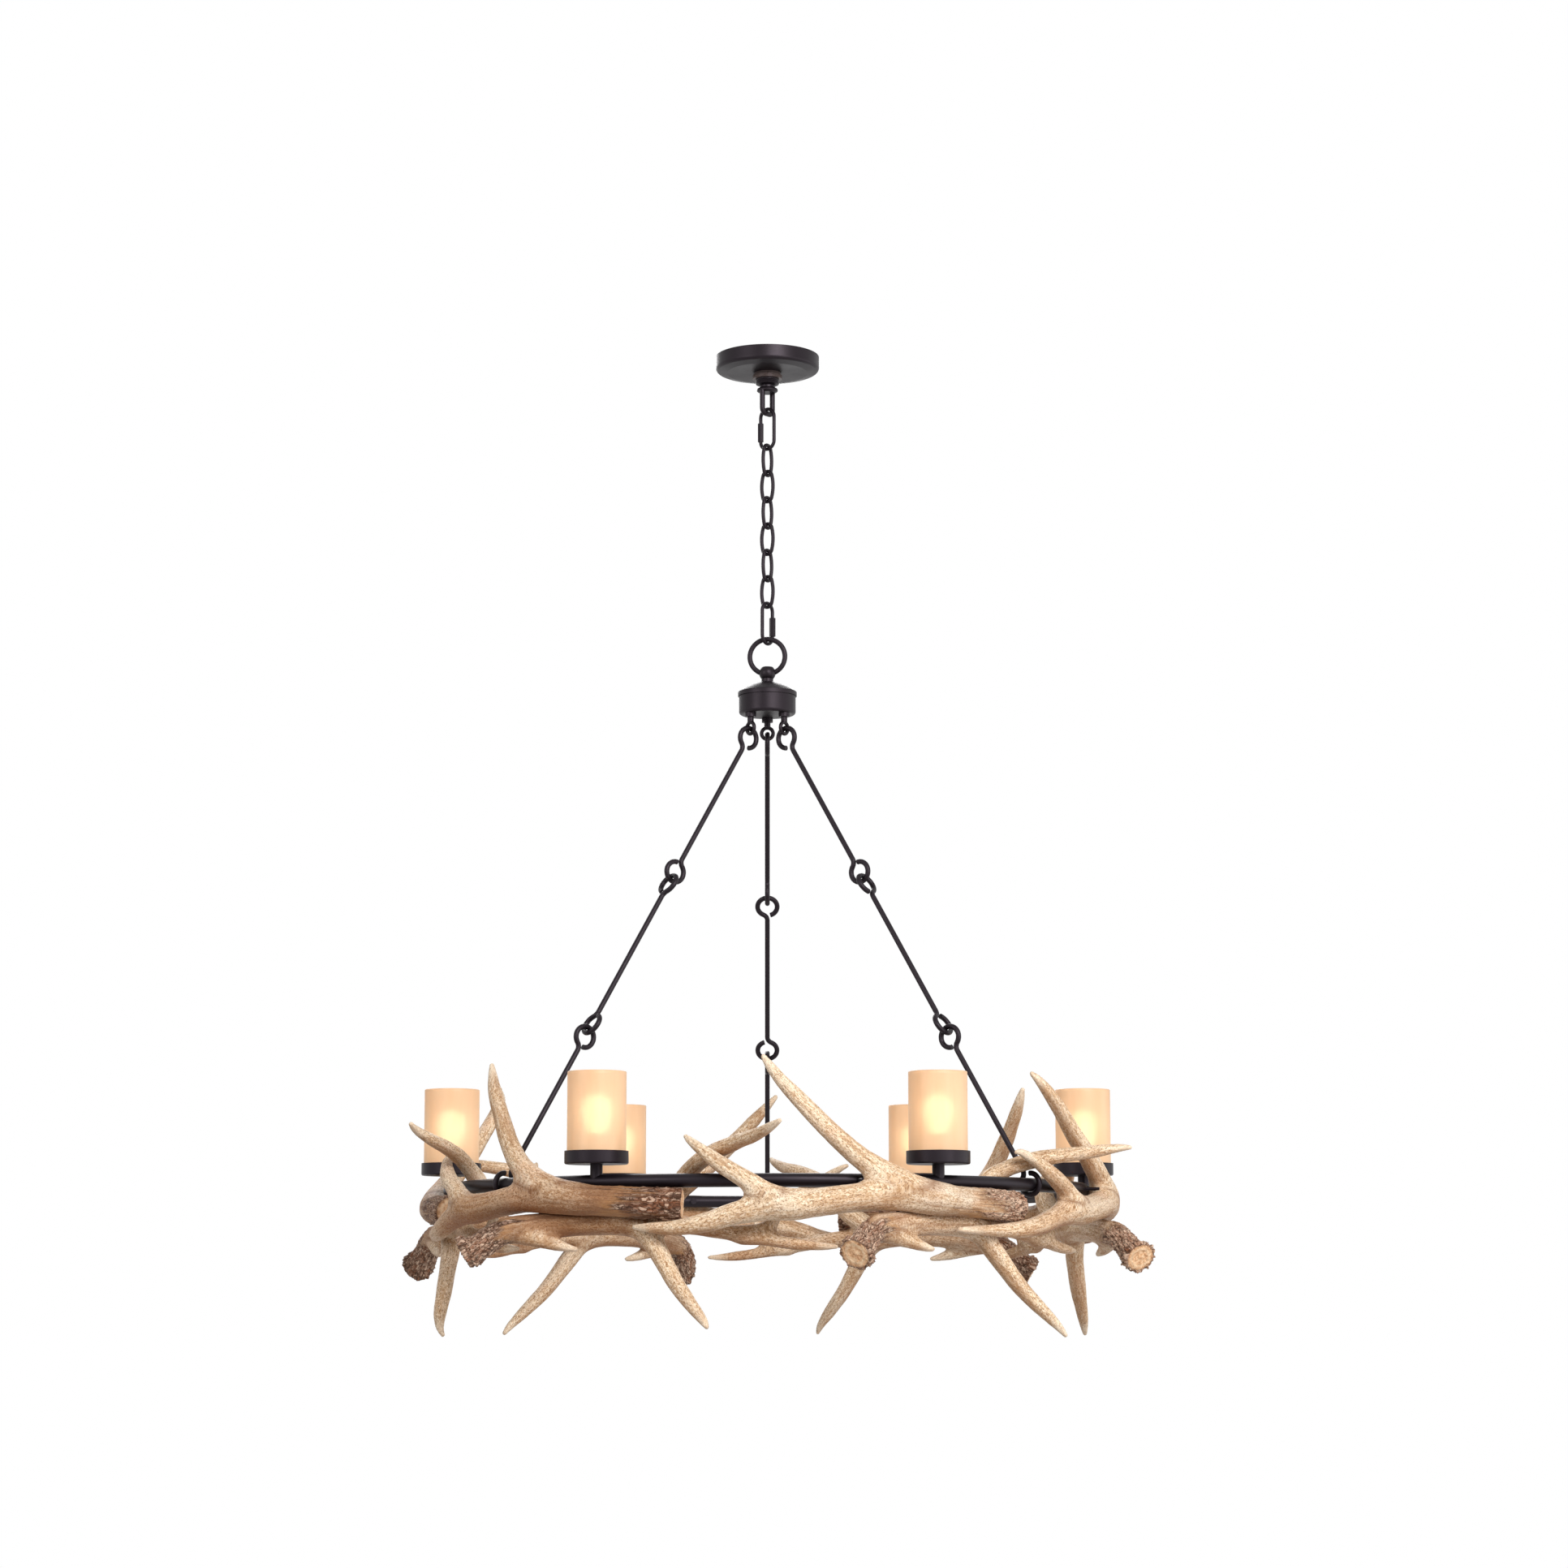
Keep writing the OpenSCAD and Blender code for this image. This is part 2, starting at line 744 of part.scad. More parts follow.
upper_short = [
    [4.5, out - 2.6, -27, 0.74], [1.2, out - 0.4, -21, 0.74], [-2.6, out - 0.6, -4, 0.66],
    [-6.9, out - 1.6, 14, 0.57], [-10.2, out - 6.2, 30, 0.43],
    [-12.8, out - 12.4, 42, 0.26], [-13.8, out - 14.8, 46, 0.12]];
lower_main = [
    [0, 77.5, under - 92, 1.34], [0.7, 71.8, under - 87, 1.2], [1.7, 62, under - 76, 1.06],
    [3.2, 50, under - 62, 1], [5.5, 36, under - 53.5, 0.98], [9, 18, under - 49, 1],
    [16.5, 1, under - 46.5, 1], [22, -5, under - 46, 1.03], [27, -9, under - 47, 0.9],
    [33, -12, under - 49.5, 0.7], [39, -12, under - 55.5, 0.62],
    [46, -9, under - 64, 0.56], [52, -6, under - 71, 0.48], [56.5, -4, under - 74, 0.34],
    [59.5, -3, under - 74.5, 0.15]];
lower_down = [
    [22.5, -3, under - 43, 0.83], [26.5, -2, under - 55, 0.93], [29.5, 2, -78 * drop, 0.79],
    [31.5, 8, -98 * drop, 0.72], [34, 17, -122 * drop, 0.66], [37, 30, -147 * drop, 0.52],
    [39.2, 40, -165 * drop, 0.34], [40.3, 45, -176.5 * drop, 0.14]];
lower_brow = [
    [4.5, 40, under - 52, 0.62], [7.5, 33, under - 62, 0.66], [11, 25, under - 70, 0.48],
    [14, 18, under - 75, 0.31], [15.5, 15, under - 77, 0.14]];
lower_inner = [
    [23, -5, under - 42, 0.76], [26.5, -16, under - 34, 0.9], [30, -28, -20, 0.9],
    [32, -31, -6, 0.86], [33.5, -28, 8, 0.76], [36.5, -13, 22, 0.69], [40, 5, 32.5, 0.66],
    [43.6, 29, 40, 0.61], [46.5, 57, 46, 0.5], [48.6, 83, 53, 0.34], [49.6, 95, 57, 0.17]];
lower_spur = [
    [44, -10, under - 62, 0.6], [48, -12, under - 52, 0.56], [49.6, -12, under - 40, 0.42],
    [50.2, -12, under - 31, 0.26], [50.4, -12, under - 27, 0.13]];

// No two antlers are alike: how far the end of each branch moves away from its path on
// each of the six antlers, as [angle, outward, up]
long_moves = [[0, 0, 3], [0, -10, -4], [0, 2, 0], [-1, 0, 2], [3, 14, 0], [0, 0, 6]];
short_moves = [[0.5, 0, 4], [0, 0, -9], [1, 3, -4], [-1.5, 4, 3], [2, 6, 0], [0, -3, -8]];
end_moves = [[2, 0, -1], [-4, -1, -3], [-2, 0, -1], [-1, 0, 0], [-3, 1, -1], [1.5, 0, -3]];
base_moves = [[0, 0, 8], [0, 0, 9], [0, 1, -5], [2.2, 0, -6], [0, 0, 2], [0, 2, 13]];
down_moves = [[0, 0, 0], [0, 2, 0], [-1.2, 3, 0], [0, -3, 0], [1.5, -16, 0], [-1.2, 0, 10]];
inner_moves = [[0, 0, -12], [1, 3, 4], [-2.2, 0, 5], [1.5, -6, -5], [0, 5, 14], [0, 0, 6]];

// A path whose end is moved; the points up to the given one stay
function moved(points, move, from = 0) =
    let (last = len(points) - 1)
    [for (i = [0 : last])
        let (w = pow(max(i - from, 0) / (last - from), 2.5))
        [points[i][0] + w * move[0], points[i][1] + w * move[1],
            points[i][2] + w * move[2], points[i][3]]];

// A path whose start is moved; the points from the given one on stay
function moved_start(points, move, till) =
    [for (i = [0 : len(points) - 1])
        let (w = pow(max(till - i, 0) / till, 2))
        [points[i][0] + w * move[0], points[i][1] + w * move[1],
            points[i][2] + w * move[2], points[i][3]]];

// A path point as [x, y, z, radius]
function place(p, thick) =
    [(ring_r + p[1]) * sin(p[0]), -(ring_r + p[1]) * cos(p[0]), p[2], p[3] * thick];

// A point of a smooth curve through four neighbouring points
function blend(a, b, c, d, t) =
    (2 * b + (c - a) * t + (2 * a - 5 * b + 4 * c - d) * t * t
        + (3 * b - a - 3 * c + d) * t * t * t) / 2;

// A path with extra points between its own, so that it bends smoothly
function smooth(path, steps) =
    let (last = len(path) - 1)
    concat(
        [for (i = [0 : last - 1])
            for (k = [0 : steps - 1])
                blend(path[max(i - 1, 0)], path[i], path[i + 1],
                    path[min(i + 2, last)], k / steps)],
        [path[last]]);

function xyz(p) = [p[0], p[1], p[2]];
function unit(v) = v / norm(v);

// Direction of a path at one of its points
function heading(path, i) =
    unit(xyz(path[min(i + 1, len(path) - 1)]) - xyz(path[max(i - 1, 0)]));

// Side directions along a path, each turned as little as possible from the one before
function sides_along(path) =
    [for (i = 0, side = unit(cross(heading(path, 0), [0.3, 0.2, 1]));
        i < len(path);
        i = i + 1,
        side = i < len(path)
            ? unit(side - (side * heading(path, i)) * heading(path, i)) : side)
        side];

// Tapered round branch along a path, closed at both ends
module branch(points, thick, steps, faces) {
    path = smooth([for (p = points) place(p, thick)], steps);
    sides = sides_along(path);
    rings = len(path);
    skin = [for (i = [0 : rings - 1])
        let (across = cross(heading(path, i), sides[i]))
        for (j = [0 : faces - 1])
            let (a = 360 * j / faces)
            xyz(path[i]) + path[i][3] * (cos(a) * sides[i] + sin(a) * across)];
    walls = [for (i = [0 : rings - 2])
        for (j = [0 : faces - 1])
            let (k = (j + 1) % faces, low = i * faces, high = low + faces)
            for (face = [[low + j, high + j, high + k], [low + j, high + k, low + k]])
                face];
    ends = [[for (j = [0 : faces - 1]) j],
        [for (j = [faces - 1 : -1 : 0]) (rings - 1) * faces + j]];
    polyhedron(skin, concat(walls, ends), convexity = 6);
}

// Upper antler: a beam outside the ring with a long tine and a short one
module upper_antler(number) {
    color(horn)
        at_ring()
            difference() {
                rotate([0, 0, 60 * (number - 1)]) {
                    branch(moved(upper_main, end_moves[number - 1], 6), upper_r, 2, 10);
                    branch(moved(upper_long, long_moves[number - 1], 3), upper_r, 2, 8);
                    branch(moved(upper_short, short_moves[number - 1]), upper_r, 1, 8);
                }
                side_screw_holes(screw_d + 2 * thread_play);
                seat_screw_holes(screw_d + 2 * thread_play);
            }
}

// Lower antler: a beam from a knobbly base, with down, brow and inner tines and a spur
module lower_antler(number) {
    color(horn)
        at_ring()
            difference() {
                rotate([0, 0, lower_start + 60 * (number - 1)]) {
                    branch(moved_start(lower_main, base_moves[number - 1], 5), lower_r, 2, 10);
                    branch(moved(lower_down, down_moves[number - 1]), lower_r, 1, 8);
                    branch(lower_brow, lower_r, 1, 8);
                    branch(moved(lower_inner, inner_moves[number - 1]), lower_r, 2, 8);
                    branch(lower_spur, lower_r, 1, 8);
                }
                seat_screw_holes(screw_d + 2 * hole_play);
                seat_screws(screw_d * 2 + 2 * hole_play, true);
            }
}

// The height and distance out of a path at an angle
function height_at(path, turn) = lookup(turn, [for (p = path) [p[0], p[2]]]);
function out_at(path, turn) = lookup(turn, [for (p = path) [p[0], p[1]]]);

// Middle points of the two beams where a lower antler meets an upper one
seat_high = [out_at(upper_main, seat_turn), height_at(upper_main, seat_turn)];
seat_low = [out_at(lower_main, seat_turn - lower_start),
    height_at(lower_main, seat_turn - lower_start)];
seat_lean = atan2(seat_high[0] - seat_low[0], seat_high[1] - seat_low[1]);
seat_span = norm(seat_high - seat_low);

// Places of the screws that hold the upper antlers to the ring, with +X outward
module at_side_screws() {
    for (k = [0 : antler_count - 1])
        facing(side_screw_turn + 60 * k)
            translate([ring_r, 0, 0])
                children();
}

// Places of the screws between the beams, with +Z from the lower to the upper beam
module at_seat_screws() {
    for (k = [0 : antler_count - 1])
        facing(seat_turn + 60 * k)
            translate([ring_r + seat_low[0], 0, seat_low[1]])
                rotate([0, seat_lean, 0])
                    children();
}

// Bores for the ring screws
module side_screw_holes(d) {
    at_side_screws()
        translate([-tube_d, 0, 0])
            rotate([0, 90, 0])
                cylinder(d = d, h = tube_d + out + 1, $fn = 16);
}

// Bores for the beam screws
module seat_screw_holes(d) {
    at_seat_screws()
        translate([0, 0, -lower_beam])
            cylinder(d = d, h = lower_beam + seat_span + 6, $fn = 16);
}

// Heads of the beam screws, or the deep recesses that take them
module seat_screws(d, recess) {
    head_z = screw_head_h + 2 - lower_r;
    at_seat_screws()
        translate([0, 0, recess ? -lower_beam : head_z - screw_head_h])
            cylinder(d = d, h = recess ? lower_beam + head_z : screw_head_h, $fn = 16);
}

// Twelve screws: six through the ring tube, six through the two beams
module antler_screws() {
    head_z = screw_head_h + 2 - lower_r;
    color(steel)
        at_ring() {
            at_side_screws()
                rotate([0, 90, 0]) {
                    translate([0, 0, -tube_d / 2 - seat_gap - screw_head_h])
                        cylinder(d = screw_d * 2, h = screw_head_h);
                    translate([0, 0, -tube_d / 2 - seat_gap - 1])
                        cylinder(d = screw_d, h = tube_d / 2 + out + 0.5);
                }
            seat_screws(screw_d * 2, false);
            at_seat_screws()
                translate([0, 0, head_z - 1])
                    cylinder(d = screw_d, h = seat_span - head_z + 6);
        }
}

mounting_bracket();
hanger_tube();
hanger_nuts();
canopy();
collar_loop();
collar_nut();
quick_link(upper_quick_top, link_turn - 90, -1);  // upper_quick_link
link_sleeve(upper_quick_top, link_turn - 90, -1);  // upper_link_sleeve
chain_link(1);  // chain_link_1
chain_link(2);  // chain_link_2
chain_link(3);  // chain_link_3
chain_link(4);  // chain_link_4
chain_link(5);  // chain_link_5
chain_link(6);  // chain_link_6
quick_link(lower_quick_top, link_turn, 1);  // lower_quick_link
link_sleeve(lower_quick_top, link_turn, 1);  // lower_link_sleeve
hub_loop();
hub_lid();
hub_body();
hub_plate();
hub_rod();
hub_nuts();
hub_eyes();
strand_rod(-strand_turn, 0);  // left_rod_upper
strand_rod(-strand_turn, 1);  // left_rod_middle
strand_rod(-strand_turn, 2);  // left_rod_lower
strand_rod(strand_turn, 0);  // right_rod_upper
strand_rod(strand_turn, 1);  // right_rod_middle
strand_rod(strand_turn, 2);  // right_rod_lower
strand_rod(180, 0);  // back_rod_upper
strand_rod(180, 1);  // back_rod_middle
strand_rod(180, 2);  // back_rod_lower
ring();
cup(1);  // cup_1
cup(2);  // cup_2
cup(3);  // cup_3
cup(4);  // cup_4
cup(5);  // cup_5
cup(6);  // cup_6
lamp_sockets();
lamp_bulbs();
shade(1);  // shade_1
shade(2);  // shade_2
shade(3);  // shade_3
shade(4);  // shade_4
shade(5);  // shade_5
shade(6);  // shade_6
upper_antler(1);  // upper_antler_1
upper_antler(2);  // upper_antler_2
upper_antler(3);  // upper_antler_3
upper_antler(4);  // upper_antler_4
upper_antler(5);  // upper_antler_5
upper_antler(6);  // upper_antler_6
lower_antler(1);  // lower_antler_1
lower_antler(2);  // lower_antler_2
lower_antler(3);  // lower_antler_3
lower_antler(4);  // lower_antler_4
lower_antler(5);  // lower_antler_5
lower_antler(6);  // lower_antler_6
antler_screws();
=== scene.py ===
import json
import math
import bpy
import numpy as np
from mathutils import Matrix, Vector


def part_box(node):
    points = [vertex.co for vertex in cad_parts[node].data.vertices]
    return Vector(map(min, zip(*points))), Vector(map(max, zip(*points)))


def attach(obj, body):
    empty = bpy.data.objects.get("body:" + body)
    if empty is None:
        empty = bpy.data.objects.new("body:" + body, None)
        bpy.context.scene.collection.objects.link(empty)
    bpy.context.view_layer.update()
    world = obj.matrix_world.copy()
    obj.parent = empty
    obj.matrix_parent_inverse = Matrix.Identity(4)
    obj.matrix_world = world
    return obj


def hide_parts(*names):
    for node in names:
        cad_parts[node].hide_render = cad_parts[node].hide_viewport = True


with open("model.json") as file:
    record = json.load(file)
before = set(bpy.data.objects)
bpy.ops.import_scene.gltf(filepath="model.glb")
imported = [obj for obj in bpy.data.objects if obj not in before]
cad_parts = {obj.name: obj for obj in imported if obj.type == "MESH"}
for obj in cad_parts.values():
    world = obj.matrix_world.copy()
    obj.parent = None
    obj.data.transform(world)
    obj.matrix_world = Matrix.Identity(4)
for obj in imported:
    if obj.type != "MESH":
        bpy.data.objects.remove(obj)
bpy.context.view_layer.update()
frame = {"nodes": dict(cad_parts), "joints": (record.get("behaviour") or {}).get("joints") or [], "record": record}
scene = bpy.context.scene
MM = 0.001

# Sizes from the CAD frame, in metres. The third shade stands straight to the right.
RING_TUBE_R = 0.008
RING_R = round(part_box("ring")[1].x - RING_TUBE_R, 6)
RING_Z = next(joint["pos_m"][2] for joint in frame["joints"] if joint["name"] == "ring_twist")
SHADE_LOW, SHADE_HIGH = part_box("shade_3")
SHADE_R = round(SHADE_HIGH.x - RING_R, 6)
SHADE_FOOT = round(SHADE_LOW.z, 6)
SHADE_H = round(SHADE_HIGH.z - SHADE_LOW.z, 6)

# The glass shades: wall, rounding of the edges, degrees from the front, and mesh steps
GLASS_WALL = 0.003
GLASS_EDGE = 0.0007
LIGHT_TURNS = [-30, 30, 90, 150, 210, 270]
GLASS_STEPS_UP, GLASS_STEPS_ROUND = 24, 96

# Antlers, in millimetres: beam radius, the gap to the ring tube, the drop from the upper
# beam to the lower one. OUT is how far the upper beam's middle stands out from the ring
# tube's, and the heights of the lower antlers' branches count from UNDER.
UPPER_MM, LOWER_MM = 16.5, 14.5
SEAT_GAP, BEAM_DROP = 0.3, 30.7
OUT = RING_TUBE_R / MM + SEAT_GAP + UPPER_MM
UNDER = BEAM_DROP - UPPER_MM - LOWER_MM - SEAT_GAP
UPPER_R, LOWER_R = UPPER_MM * MM, LOWER_MM * MM

# How wide the webs in the crotches are, in metres, the turn from pair to pair and from an
# upper antler to the one under it, in degrees, and the first seeds of the noise
UPPER_WEB, LOWER_WEB = 0.019, 0.015
ANTLER_PAIRS = 6
PAIR_TURN = 360 / ANTLER_PAIRS
LOWER_TURN = 12
UPPER_SEED, LOWER_SEED = 3, 23

# The antler mesh: steps between two points of a branch, cell size, how softly one branch
# hands over to the next, how far round the base the flat cut reaches, in beam radii, the
# distance that stands for far outside, how often and how far the points are evened out,
# and how far from a branch's end its tip is full and where it starts
BRANCH_STEPS = 5
CELL = 0.0016
BRANCH_BLEND = 0.0035
CUT_REACH = 1.9
FAR = 0.05
EVEN_TIMES, EVEN_SHARE = 2, 0.5
TIP_FULL, TIP_START = 0.003, 0.045

# Stage and world: the floor's height, half width and colour, the distances between which
# lit paper turns to plain white, and the brightness of paper and room
FLOOR_Z = -2.35
FLOOR_HALF = 60.0
FLOOR_GREY = 0.62
NEAR_IN, NEAR_OUT = 1.2, 2.6
FLOOR_LIT, FLOOR_GLOW = 0.90, 0.10
STUDIO_LIGHT, PAPER_WHITE = 0.24, 1.0

# Lamps: name, place, aim, width and height, watts
LAMPS = [
    ("key", (1.1, -3.0, 0.7), (0, 0, -0.95), (1.4, 1.2), 97),
    ("side", (2.9, -0.3, -0.75), (0, 0, -0.95), (3.0, 1.6), 20),
    ("strip", (2.1, -2.4, -0.55), (0, 0, -0.75), (0.45, 2.4), 26),
    ("fill", (-2.4, -2.4, 0.1), (0, 0, -0.95), (1.4, 1.4), 35),
    ("rim", (-0.6, 2.8, 0.8), (0, 0, -0.9), (2.0, 1.2), 44),
]

# Camera: the photograph's width and the focal length in its pixels, place and upward tilt
PHOTO_PX = 1932.0
FOCAL_PX, SHIFT_PX = 4440.0, 20.5
SENSOR_MM = 36.0
CAMERA_BACK, CAMERA_UNDER_RING, CAMERA_TILT = 4.525, 0.1535, 8.4
SIGHT_END = 200.0


# Noise in numpy, the same on every run
def hashed(ix, iy, iz, seed):
    """A number from -1 to 1 for each whole-number cell."""
    h = (ix.astype(np.int64) * 374761393 + iy.astype(np.int64) * 668265263
         + iz.astype(np.int64) * 1440662683 + seed * 974634777) & 0xFFFFFFFF
    h = ((h ^ (h >> 13)) * 1274126177) & 0xFFFFFFFF
    h = ((h ^ (h >> 16)) * 2246822519) & 0xFFFFFFFF
    return (h & 0xFFFFFF).astype(np.float64) / float(0xFFFFFF) * 2.0 - 1.0


def noise(p, seed):
    """Smooth noise from -1 to 1, with one value per unit cell."""
    f = np.floor(p)
    t = p - f
    t = t * t * t * (t * (t * 6 - 15) + 10)
    i = f.astype(np.int64)
    out = np.zeros(len(p))
    for dx in (0, 1):
        wx = t[:, 0] if dx else 1 - t[:, 0]
        for dy in (0, 1):
            wy = t[:, 1] if dy else 1 - t[:, 1]
            for dz in (0, 1):
                wz = t[:, 2] if dz else 1 - t[:, 2]
                out += wx * wy * wz * hashed(i[:, 0] + dx, i[:, 1] + dy, i[:, 2] + dz, seed)
    return out


def fbm(p, seed, octaves):
    """Several sizes of noise on top of each other, each half as strong as the last."""
    out, strength, total = np.zeros(len(p)), 1.0, 0.0
    for k in range(octaves):
        out += strength * noise(p * (2.03 ** k) + 7.7 * k, seed + k)
        total += strength
        strength *= 0.5
    return out / total


def cracks(p, seed):
    """Distance to the nearest and second nearest of scattered points, one per unit cell."""
    f = np.floor(p).astype(np.int64)
    first = np.full(len(p), 9.0)
    second = np.full(len(p), 9.0)
    for dx in (-1, 0, 1):
        for dy in (-1, 0, 1):
            for dz in (-1, 0, 1):
                i, j, k = f[:, 0] + dx, f[:, 1] + dy, f[:, 2] + dz
                q = np.stack([i + 0.5 + 0.45 * hashed(i, j, k, seed),
                              j + 0.5 + 0.45 * hashed(i, j, k, seed + 1),
                              k + 0.5 + 0.45 * hashed(i, j, k, seed + 2)], 1)
                d = np.linalg.norm(p - q, axis=1)
                second = np.minimum(second, np.maximum(d, first))
                first = np.minimum(first, d)
    return first, second


def smoothstep(a, b, x):
    t = np.clip((x - a) / (b - a), 0, 1)
    return t * t * (3 - 2 * t)


# Meshes
def new_object(name, verts, faces, body, node):
    """A smooth mesh object that rides on a body and replaces a CAD node."""
    mesh = bpy.data.meshes.new(name)
    mesh.from_pydata([tuple(v) for v in verts], [], [tuple(f) for f in faces])
    mesh.update()
    mesh.polygons.foreach_set("use_smooth", [True] * len(mesh.polygons))
    ob = bpy.data.objects.new(name, mesh)
    scene.collection.objects.link(ob)
    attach(ob, body)
    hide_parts(node)
    return ob


def add_vectors(mesh, name, values):
    at = mesh.attributes.new(name, "FLOAT_VECTOR", "POINT")
    at.data.foreach_set("vector", values.astype(np.float32).ravel())


def lathe(profile, steps):
    """A closed profile of (r, z) turned about the Z axis."""
    n = len(profile)
    verts, faces = [], []
    for s in range(steps):
        a = 2 * math.pi * s / steps
        for r, z in profile:
            verts.append((r * math.cos(a), r * math.sin(a), z))
    for s in range(steps):
        for k in range(n):
            a, b = s * n + k, s * n + (k + 1) % n
            c, d = ((s + 1) % steps) * n + (k + 1) % n, ((s + 1) % steps) * n + k
            faces.append((a, d, c, b))
    return verts, faces


def surface_nets(field, origin, h):
    """Quads of the zero surface of a grid of distances, with its origin and cell size."""
    inside = field < 0
    cells = tuple(n - 1 for n in field.shape)
    count = cells[0] * cells[1] * cells[2]
    total = np.zeros((count, 3))
    hits = np.zeros(count)
    quads = []
    for axis in range(3):
        a = [slice(None)] * 3
        b = [slice(None)] * 3
        a[axis] = slice(0, -1)
        b[axis] = slice(1, None)
        cross = inside[tuple(a)] != inside[tuple(b)]
        index = np.argwhere(cross)
        f0 = field[tuple(a)][cross]
        f1 = field[tuple(b)][cross]
        pos = index.astype(float)
        pos[:, axis] += f0 / (f0 - f1)
        o1, o2 = [(1, 2), (2, 0), (0, 1)][axis]
        ring = []
        for d1, d2 in ((0, 0), (-1, 0), (-1, -1), (0, -1)):
            c = index.copy()
            c[:, o1] += d1
            c[:, o2] += d2
            ok = (c >= 0).all(1) & (c < np.array(cells)).all(1)
            flat = (c[:, 0] * cells[1] + c[:, 1]) * cells[2] + c[:, 2]
            np.add.at(total, flat[ok], pos[ok])
            np.add.at(hits, flat[ok], 1)
            ring.append(np.where(ok, flat, -1))
        ring = np.stack(ring, 1)
        good = (ring >= 0).all(1)
        ring = ring[good]
        flip = f0[good] > 0
        ring[flip] = ring[flip][:, ::-1]
        quads.append(ring)
    used = hits > 0
    number = -np.ones(count, np.int64)
    number[used] = np.arange(used.sum())
    verts = total[used] / hits[used][:, None] * h + origin
    return verts, number[np.concatenate(quads)]


def vertex_normals(verts, quads):
    e1 = verts[quads[:, 2]] - verts[quads[:, 0]]
    e2 = verts[quads[:, 3]] - verts[quads[:, 1]]
    n = np.cross(e1, e2)
    total = np.zeros_like(verts)
    for k in range(4):
        np.add.at(total, quads[:, k], n)
    return total / np.maximum(np.linalg.norm(total, axis=1), 1e-12)[:, None]


def relax(verts, quads, times, amount):
    """Draws each point towards its neighbours."""
    n = len(verts)
    for _ in range(times):
        total = np.zeros_like(verts)
        count = np.zeros(n)
        for k in range(4):
            j = (k + 1) % 4
            np.add.at(total, quads[:, k], verts[quads[:, j]])
            np.add.at(total, quads[:, j], verts[quads[:, k]])
            np.add.at(count, quads[:, k], 1)
            np.add.at(count, quads[:, j], 1)
        verts = verts + amount * (total / count[:, None] - verts)
    return verts


# The branches of an antler. Each point: angle from the front, distance out from the ring
# tube, height above the ring's middle, thickness factor. Distances in millimetres.
UPPER = {
    "main": [(46, OUT - 17.8, -28, 1.18), (43, OUT - 14, -27, 1.1), (38, OUT - 8, -25, 1.07),
             (28, OUT - 2.8, -21, 1.03), (20, OUT - 0.8, -18.5, 1), (15, OUT - 0.4, -20, 1),
             (6, OUT - 2.3, -27.5, 0.97), (0, OUT - 3.4, -31, 0.93), (-5, OUT - 3.2, -38, 0.78),
             (-10, OUT - 1.8, -48.5, 0.67), (-15, OUT - 2.6, -53.5, 0.54),
             (-19.5, OUT - 4.6, -53.5, 0.4), (-23.5, OUT - 6.8, -52, 0.2)],
    "long": [(29, OUT - 2.6, -19.5, 0.5), (24.3, OUT - 0.8, -11, 0.8), (20.6, OUT - 0.8, 0, 0.9),
             (16.5, OUT - 4.5, 17, 0.8), (12.8, OUT - 12, 38.5, 0.69), (8.5, OUT - 21.8, 68, 0.62),
             (3.6, OUT - 31, 104, 0.51), (0.8, OUT - 36.6, 126, 0.37),
             (-0.7, OUT - 39.8, 139, 0.19)],
    "short": [(4.5, OUT - 2.6, -27, 0.45), (1.2, OUT - 0.4, -21, 0.62), (-2.6, OUT - 0.6, -4, 0.64),
              (-6.9, OUT - 1.6, 14, 0.57), (-10.2, OUT - 6.2, 30, 0.43),
              (-12.8, OUT - 12.4, 42, 0.28), (-13.8, OUT - 14.8, 45.5, 0.18)],
}
LOWER = {
    "main": [(0, 77.5, UNDER - 92, 1.34), (0.7, 71.8, UNDER - 87, 1.2), (1.7, 62, UNDER - 76, 1.06),
             (3.2, 50, UNDER - 62, 1), (5.5, 36, UNDER - 53.5, 0.98), (9, 18, UNDER - 49, 1),
             (16.5, 1, UNDER - 46.5, 1), (22, -5, UNDER - 46, 1.03), (27, -9, UNDER - 47, 0.9),
             (33, -12, UNDER - 49.5, 0.7), (39, -12, UNDER - 55.5, 0.62),
             (46, -9, UNDER - 64, 0.56), (52, -6, UNDER - 71, 0.48), (56.5, -4, UNDER - 74, 0.34),
             (59.5, -3, UNDER - 74.5, 0.19)],
    "down": [(22.5, -3, UNDER - 43, 0.5), (26.5, -2, UNDER - 55, 0.82), (29.5, 2, -78, 0.79),
             (31.5, 8, -98, 0.72), (34, 17, -122, 0.66), (37, 30, -147, 0.52),
             (39.2, 40, -165, 0.36), (40.3, 45, -175.5, 0.2)],
    "brow": [(4.5, 40, UNDER - 52, 0.4), (7.5, 33, UNDER - 62, 0.6), (11, 25, UNDER - 70, 0.48),
             (14, 18, UNDER - 75, 0.33), (15.5, 15, UNDER - 77, 0.2)],
    "inner": [(23, -5, UNDER - 42, 0.5), (26.5, -16, UNDER - 34, 0.78), (30, -28, -20, 0.9),
              (32, -31, -6, 0.86), (33.5, -28, 8, 0.76), (36.5, -13, 22, 0.69),
              (40, 5, 32.5, 0.66), (43.6, 29, 40, 0.61), (46.5, 57, 46, 0.5),
              (48.6, 83, 53, 0.34), (49.6, 94, 56.6, 0.2)],
    "spur": [(44, -10, UNDER - 62, 0.36), (48, -12, UNDER - 52, 0.5), (49.6, -12, UNDER - 40, 0.42),
             (50.2, -12, UNDER - 31, 0.28), (50.4, -12, UNDER - 27.5, 0.17)],
}
